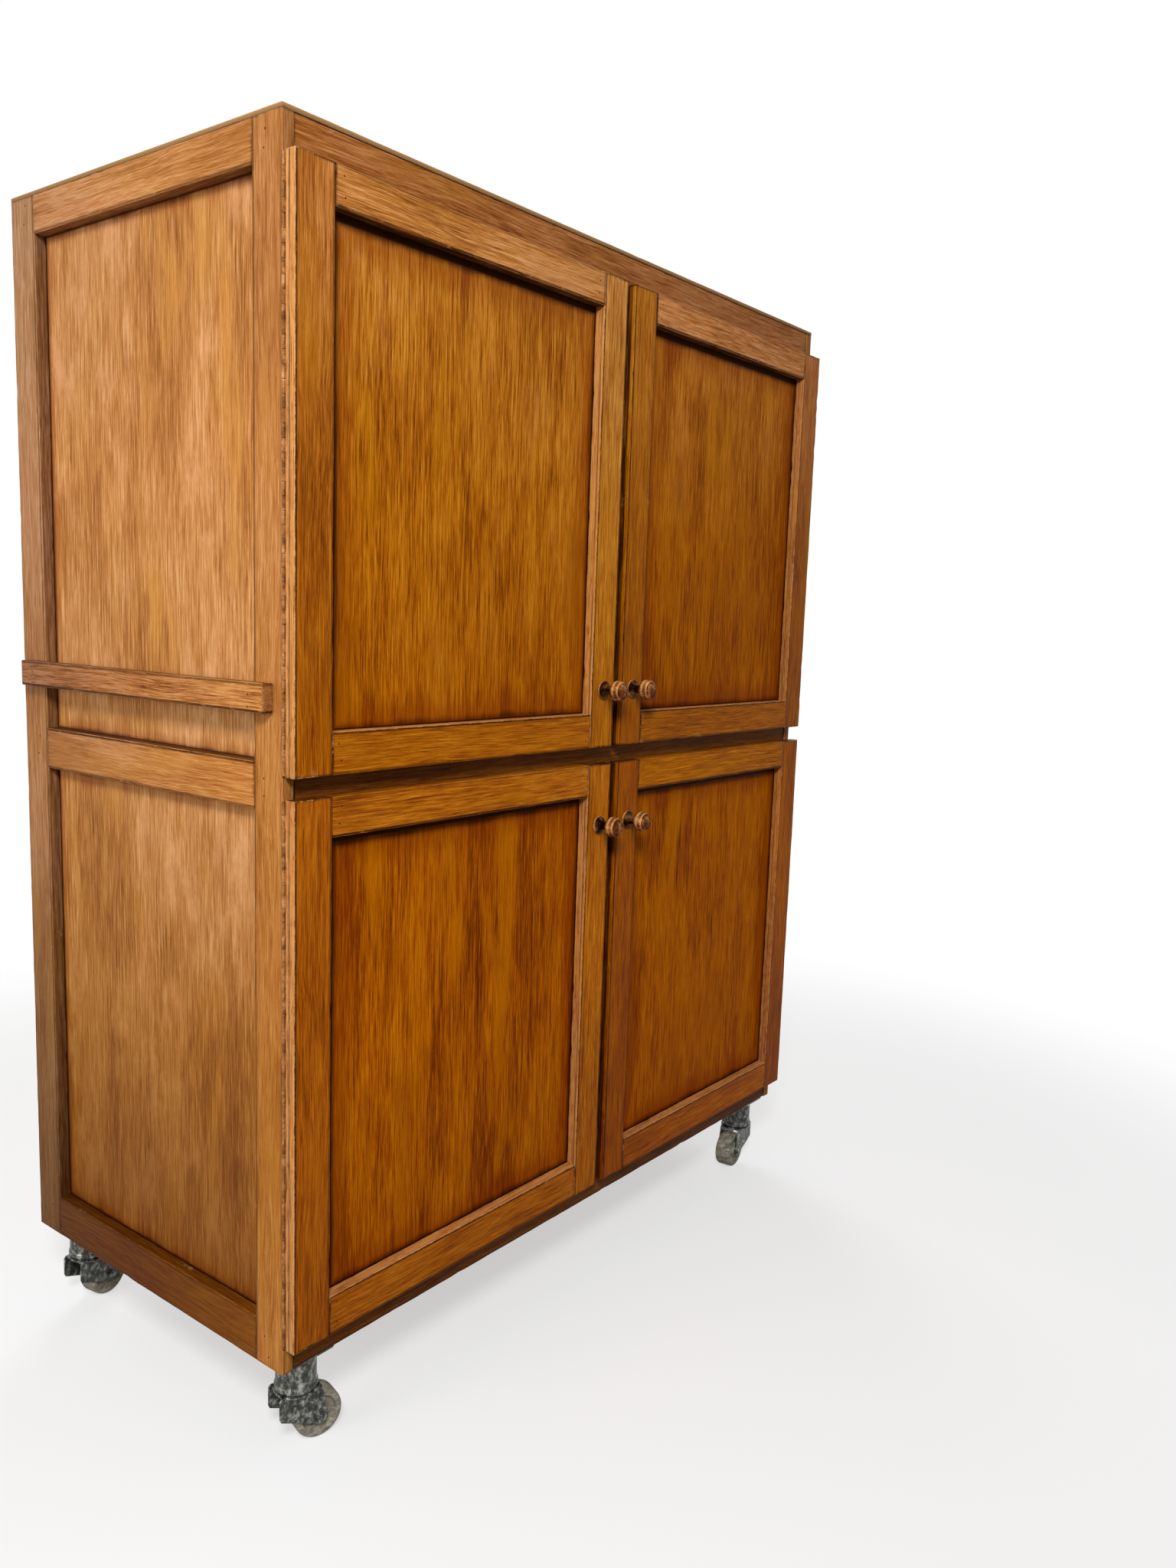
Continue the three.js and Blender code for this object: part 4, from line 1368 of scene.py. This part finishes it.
@dataclass
class Hinge:
    """A continuous hinge: two strips, curled in turn round one pin. Its sizes are in millimetres."""

    name: str
    finishes: Finishes
    pitch: float = 18
    space: float = 0.5
    radius: float = 2.15
    leaf_thick: float = 1.2
    leaf_outer: float = 2.2
    leaf_reach: Band = (2.3, 16)
    web_reach: float = 2.6
    screw_step: float = 72
    screw_ends: Band = (24, 10)
    screw_out: float = 10

    def build(self) -> None:
        """Builds both leaves, one on the cupboard and one on the door."""
        joint = next(joint for joint in frame["joints"] if joint["name"] == f"{self.name}_door_hinge")
        axis = np.array(joint["pos_m"])
        low, high = corners(f"{self.name}_hinge_frame_leaf")
        side = 1 if (low[0] + high[0]) / 2 > axis[0] else -1
        count = int((high[2] - low[2]) / (self.pitch * MM)) // 2 * 2 + 1
        for first, part in enumerate(("frame", "door")):
            self.leaf(part, axis, side, (high[2] - low[2]) / count, np.arange(first, count, 2))

    def bar(self, x: Band, y: Band, z: Band, edge: float, station: float) -> Shell:
        """Shapes a plain flat bar.

        Args:
            x: where it starts and ends, left to right.
            y: where it starts and ends, front to back.
            z: where it starts and ends, upwards.
            edge: radius of its arrises.
            station: distance from ring to ring.

        Returns:
            The shell.
        """
        low, high = (np.array(corner) for corner in zip(x, y, z))
        return Board("bar", low, high, Lie.UPRIGHT_FRONT, 1, edge=edge * MM, end=edge * MM, knock=0.0,
                     station=station * MM).shell()

    def leaf(self, part: str, axis: Array, side: int, step: float, turns: Array) -> None:
        """Builds one leaf.

        Args:
            part: frame or door.
            axis: a point on the pin's line.
            side: 1 where the leaf lies towards +x.
            step: distance from one knuckle to the next.
            turns: the steps at which this leaf has a knuckle.
        """
        node = f"{self.name}_hinge_{part}_leaf"
        low, high = corners(node)
        face = 1 if part == "frame" else -1
        outer = axis[1] + face * self.leaf_outer * MM
        inner = outer - face * self.leaf_thick * MM
        depth = sorted((outer, inner))
        width = sorted(axis[0] + side * reach * MM for reach in self.leaf_reach)
        shells = [self.bar(width, depth, (low[2], high[2]), 0.3, 120)]
        length = step - self.space * MM
        curl = [(0, 0), (self.radius, 0), (self.radius, length / MM), (0, length / MM)]
        near = sorted((axis[0], axis[0] + side * self.web_reach * MM))
        for bottom in low[2] + step * turns + self.space * MM / 2:
            shells.append(revolved(pin_profile(curl, 0.35, 2), 12, np.array([*axis[:2], bottom]), UP))
            shells.append(self.bar(near, depth, (bottom, bottom + length), 0.2, 20))
        head = pin_profile([(0, -0.3), (2.9, -0.3), (2.5, 0.25), (0, 0.35)], 0.2, 2)
        first, last = self.screw_ends
        for height in np.arange(low[2] + first * MM, high[2] - last * MM, self.screw_step * MM):
            centre = np.array([axis[0] + side * self.screw_out * MM, inner, height])
            shells.append(revolved(head, 14, centre, Vector((0, -face, 0))))
        body = "root" if part == "frame" else f"{self.name}_door"
        finished(f"{node}_strip", joined(shells), self.finishes["hinge_metal"], body, (node,))


@dataclass(frozen=True)
class Disc:
    """A bolt head or a washer, in millimetres, with its faces' heights above what it lies on."""

    radius: float
    sides: int
    low: float
    high: float
    rim: float

    def shell(self, rows: Array, spot: Array, turn: float = 0.0) -> Shell:
        """The disc at a spot, in a frame and turned in it."""
        return plate(regular(self.radius * MM, self.sides, turn), self.low, self.high, self.rim, rows, spot)


LAG_HEAD = Disc(6.4, 6, -4.4, -0.9, 0.5)
LAG_WASHER = Disc(8, 20, -1.1, 0.1, 0.3)
AXLE_HEAD = Disc(8.4, 6, -0.1, 3.8, 0.7)
AXLE_WASHER = Disc(9.6, 20, -0.2, 0.9, 0.3)


@dataclass
class Caster:
    """A swivel caster on a steel neck: bolted plate and race, pressed fork, axle and wheel.

    Sizes are in millimetres. Heights are from the plate's top, and distances along from the
    kingpin's line towards the axle.
    """

    name: str
    finishes: Finishes
    plate_thick: float = 4
    corner: float = 9
    bolt_inset: float = 11
    crown_flat: Band = (31.5, 22.5)
    crown_heights: Band = (-68.5, -64.2)
    crown_low: float = -68.7
    crown_thick: float = 4.4
    leg_faces: Band = (19.5, 22.5)
    leg_back: float = -35
    leg_knee: float = -100.7
    leg_front: float = 33
    leg_end: float = 12
    leg_bend: float = 4
    axle_radius: float = 5

    def __post_init__(self) -> None:
        """Reads the kingpin's line, the axle's line and the height of the mounting from the frame."""
        joints = {joint["name"]: joint for joint in frame["joints"]}
        kingpin = joints[f"caster_{self.name}_swivel"]["pos_m"]
        axle = joints[f"caster_{self.name}_axle"]
        self.hub = np.array(axle["pos_m"])
        self.across = np.array(axle["axis"])
        self.top = np.array([*kingpin[:2], corners(f"caster_{self.name}_plate")[1][2]])
        trail = (self.hub - self.top) * (1, 1, 0)
        self.trail = float(np.linalg.norm(trail)) / MM
        self.drop = float(self.hub[2] - self.top[2]) / MM
        self.rows = np.stack([trail / np.linalg.norm(trail), LEVEL[2], -self.across])

    def part(self, name: str, shells: list[Shell], body: str, slot: str = "caster_metal") -> None:
        """Joins some shells into one piece.

        Args:
            name: the part's name, as in the CAD node that the piece stands for.
            shells: its shells.
            body: the CAD body it moves with.
            slot: the record's material slot, and the finish.
        """
        node = f"caster_{self.name}_{name}"
        look = "pressed" if slot == "caster_metal" else "moulded"
        finished(f"{node}_{look}", joined(shells), self.finishes[slot], body, (node,))

    def build(self) -> None:
        """Builds the three parts on their three bodies."""
        self.plate()
        self.fork()
        self.wheel()

    def plate(self) -> None:
        """Builds a square plate with round corners, four lag bolts, a neck, the race and the kingpin."""
        low, high = corners(f"caster_{self.name}_plate")
        half, bend = (high[0] - low[0]) / 2, self.corner * MM
        turn = np.linspace(0, math.pi / 2, 6)
        quarter = np.stack([np.cos(turn), np.sin(turn)], 1) * bend + half - bend
        spin = np.array([(0, 1), (-1, 0)])
        outline = np.concatenate([quarter @ np.linalg.matrix_power(spin, times) for times in range(4)])
        shells = [plate(outline, -self.plate_thick, 0, 0.8, LEVEL, self.top)]
        neck = [(0, -3.8), (30, -3.8), (32.4, -5.4), (31, -9), (30.4, -20), (30.4, -46), (31, -53),
                (32.4, -55.5), (32.4, -61), (31, -62.9), (0, -62.9)]
        shells.append(revolved(pin_profile(neck[::-1], 1.2), 48, self.top, UP))
        pin = [(0, -74.2), (6, -74.2), (8.6, -73), (8.9, -71.2), (5.5, -69.9), (5.5, -62.6), (0, -62.6)]
        shells.append(revolved(pin_profile(pin, 0.8), 24, self.top, UP))
        reach = half - self.bolt_inset * MM
        for x, y in ((-1, -1), (-1, 1), (1, -1), (1, 1)):
            spot = self.top + (x * reach, y * reach, -self.plate_thick * MM)
            shells += [LAG_HEAD.shell(LEVEL, spot, x + 2 * y), LAG_WASHER.shell(LEVEL, spot)]
        self.part("plate", shells, "root")

    def leg_outline(self) -> Array:
        """Draws the leg's edge.

        Its rear edge falls straight to a knee, slopes to touch the round end, and its front edge
        leans back up to the crown. The slope touches the end circle at the angle of the line from
        axle to knee, turned by the arc cosine of end radius over that line's length.

        Returns:
            Distance along and height of each point, in metres.
        """
        knee = np.array([self.leg_back - self.trail, self.leg_knee - self.drop])
        start = math.atan2(knee[1], knee[0]) + math.acos(self.leg_end / float(np.hypot(*knee)))
        arc = np.linspace(start, 2 * math.pi, 14)
        end = np.stack([np.cos(arc), np.sin(arc)], 1) * self.leg_end + (self.trail, self.drop)
        top, bend = self.crown_low + self.crown_thick, self.leg_bend
        back, low = self.leg_back, self.leg_knee
        rear = [(back + bend, top), (back, top - bend), (back, low + bend), (back + 2.4, low - 1.4)]
        front = [(self.leg_front, top - bend), (self.leg_front - 3, top)]
        return np.concatenate([rear, end, front]) * MM

    def fork(self) -> None:
        """Builds a crown with a rolled rim and a flat part, two deep legs bent from it, and the axle bolt."""
        crown = [(6.3, -68.4), (30, -68.4), (33.2, -67.4), (33.8, -65.6), (31, -63.9), (20, -63.8),
                 (6.3, -63.8)]
        seam = rounded([crown[-1], crown[0], crown[1]], 1.0)[1:-1]
        ring = np.vstack([rounded(crown, 1.0), seam])[1:] * MM
        shells = [revolved(ring, 44, self.top, UP, closed=True)]
        inner, outer = self.leg_faces
        flat = np.array([(-1, -1), (1, -1), (1, 1), (-1, 1)]) * self.crown_flat * MM
        level = np.stack([self.rows[0], self.across, LEVEL[2]])
        shells.append(plate(flat, *self.crown_heights, 1.2, level, self.top))
        for low, high in ((inner, outer), (-outer, -inner)):
            shells.append(plate(self.leg_outline(), low, high, 1.1, self.rows, self.top))
        radius, reach = self.axle_radius, outer + self.axle_radius
        axle = [(0, -reach), (radius - 1.2, -reach), (radius, 1.2 - reach), (radius, reach - 1.2),
                (radius - 1.2, reach), (0, reach)]
        shells.append(revolved(pin_profile(axle, 0.6, 2), 20, self.hub, Vector(self.across)))
        for side in (-1, 1):
            rows, spot = basis(Vector(self.across * side)), self.hub + self.across * side * outer * MM
            shells += [AXLE_HEAD.shell(rows, spot), AXLE_WASHER.shell(rows, spot)]
        self.part("fork", shells, f"caster_{self.name}")

    def wheel(self) -> None:
        """Builds a moulded wheel with dished web, and a crowned tread round it."""
        low, high = corners(f"caster_{self.name}_wheel")
        radius = (high[2] - low[2]) / 2 / MM
        side = [(5.5, 19), (12, 19), (13.4, 17.6), (14.6, 12.6), (17, 11.8), (24, 11.6), (26, 12.8),
                (27.2, 16.2), (29, 17), (radius - 4, 17), (radius - 1, 15.6), (radius, 12), (radius, 0)]
        half = rounded(side, 1.4)
        ring = np.concatenate([half * (1, -1), half[::-1][1:]]) * MM
        shell = revolved(ring, 64, self.hub, Vector(self.across), closed=True)
        self.part("wheel", [shell], f"caster_{self.name}_rolling", "wheel_tread")


# ---------------------------------------------------------------- stage


@dataclass
class Studio:
    """Camera, lamps, floor and background, with its angles in degrees."""

    lens: float = 27.734
    sensor: float = 36.0
    spot: tuple[float, float, float] = (-1.7031, -1.5860, 1.2382)
    yaw: float = 52.403
    pitch: float = -7.921
    roll: float = 1.998
    aim: tuple[float, float, float] = (0.0, 0.0, 0.95)
    lamps: tuple[tuple[str, float, float, tuple[float, float, float]], ...] = (
        ("key", 92.0, 0.8, (-2.45, -2.15, 2.85)),
        ("side", 27.0, 1.6, (-3.2, 0.25, 1.35)),
        ("back", 62.0, 2.2, (2.3, 2.6, 2.4)),
    )
    ambient: float = 0.32
    floor_radius: float = 30.0
    floor_sides: int = 64
    floor_seen: float = 0.92
    floor_bounce: float = 0.3
    floor_rough: float = 0.9
    floor_glow: float = 0.55
    glow_grows: Band = (1.6, 6.0)

    def camera(self) -> None:
        """Sets the camera from its turn about the vertical, its tilt and its roll."""
        yaw, pitch, roll = np.radians([self.yaw, self.pitch, self.roll])
        ahead = np.array([math.sin(yaw) * math.cos(pitch), math.cos(yaw) * math.cos(pitch), math.sin(pitch)])
        level = np.array([math.cos(yaw), -math.sin(yaw), 0.0])
        down = np.cross(ahead, level)
        right = math.cos(roll) * level - math.sin(roll) * down
        below = math.cos(roll) * down + math.sin(roll) * level
        data = bpy.data.cameras.new("camera")
        data.lens, data.sensor_width, data.sensor_fit = self.lens, self.sensor, "AUTO"
        camera = linked("camera", data)
        turned = np.eye(4)
        turned[:3] = np.stack([right, -below, -ahead, self.spot], 1)
        camera.matrix_world = Matrix(turned.tolist())
        bpy.context.scene.camera = camera

    def lamp(self, name: str, power: float, size: float, spot: tuple[float, float, float]) -> None:
        """Aims a round soft lamp at the cupboard.

        Args:
            name: the lamp's name.
            power: its power in watts.
            size: how wide it is.
            spot: where it hangs.
        """
        data = bpy.data.lights.new(name, "AREA")
        data.shape, data.size, data.energy = "DISK", size, power
        lamp = linked(name, data)
        lamp.location = spot
        lamp.rotation_euler = (Vector(self.aim) - Vector(spot)).to_track_quat("-Z", "Y").to_euler()

    def background(self) -> None:
        """Makes the background white where it is seen, and an even soft light for all else."""
        g = Graph(bpy.data.worlds.new("world"))
        g.shade(Color=WHITE, Strength=g.seen() * (1 - self.ambient) + self.ambient)
        bpy.context.scene.world = g.owner

    def floor(self) -> None:
        """Lays a wide pale disc that keeps the shadow near the cupboard and shows white further out."""
        points = np.pad(regular(self.floor_radius, self.floor_sides), ((0, 0), (0, 1)))
        mesh = bpy.data.meshes.new("floor")
        mesh.from_pydata(points.tolist(), [], [list(range(self.floor_sides))])
        g = Graph(bpy.data.materials.new("floor_paint"))
        x, y, _ = g.parts(g.spot())
        seen = g.seen()
        pale, soft = ((shade, shade, shade, 1.0) for shade in (self.floor_seen, self.floor_bounce))
        g.shade(Base_Color=g.mix(seen, soft, pale), Roughness=self.floor_rough, Specular_IOR_Level=0.0)
        glow = g.node("ShaderNodeEmission", {}, {"Color": WHITE, "Strength": 1.0}).outputs[0]
        grown = (x * x + y * y).rise(*self.glow_grows)
        share = (grown * (1 - self.floor_glow) + self.floor_glow) * seen
        blend = g.node("ShaderNodeMixShader", {}, {0: share, 1: g.shader.outputs[0], 2: glow})
        out = next(node for node in g.tree.nodes if node.type == "OUTPUT_MATERIAL")
        g.feed(out.inputs["Surface"], blend.outputs[0])
        mesh.materials.append(g.owner)
        linked("floor", mesh)

    def build(self) -> None:
        """Builds the whole stage."""
        bpy.context.scene.view_settings.view_transform = "Standard"
        self.camera()
        for lamp in self.lamps:
            self.lamp(*lamp)
        self.background()
        self.floor()


def main() -> None:
    """Builds the stage, then the cupboard, its doors, hinges and casters."""
    logging.basicConfig(level=logging.INFO, format="%(message)s")
    Studio().build()
    finishes = Finishes()
    Carcass(finishes).build()
    # Each door's tone with painted light from bottom to top, the lower and right doors darker and the upper
    # doors with a painted sheen at the top, then its frame's and its meeting stile's, the right doors' meeting
    # stiles in painted shade.
    glazes = {
        "upper_left": (((1.03, 0.84, 0.12), (1.14, 1.1, 0.6), (1.23, 1.38, 2.5)), (0.98, 0.97, 0.75), PLAIN),
        "upper_right": (((0.88, 0.66, 0.02), (0.96, 0.80, 0.15), (1.24, 1.28, 2.0)), (1.02, 1.06, 1.1),
                        (0.8, 0.7, 0.2)),
        "lower_left": (((0.93, 0.69, 0.09), (1.12, 0.84, 0.1), (1.05, 0.8, 0.1)), (1.05, 1.1, 1.8), PLAIN),
        "lower_right": (((0.90, 0.60, 0.0), (1.08, 0.82, 0.0), (1.02, 0.78, 0.0)), (1.05, 1.08, 2.2),
                        (0.7, 0.58, 0.3)),
    }
    for seed, (name, (glaze, frame_glaze, meeting_glaze)) in zip(DOOR_SEEDS, glazes.items()):
        Door(name, finishes, seed, glaze, frame_glaze, meeting_glaze).build()
        Hinge(name, finishes).build()
    for name in ("front_left", "front_right", "back_left", "back_right"):
        Caster(name, finishes).build()


if __name__ == "__main__":
    main()
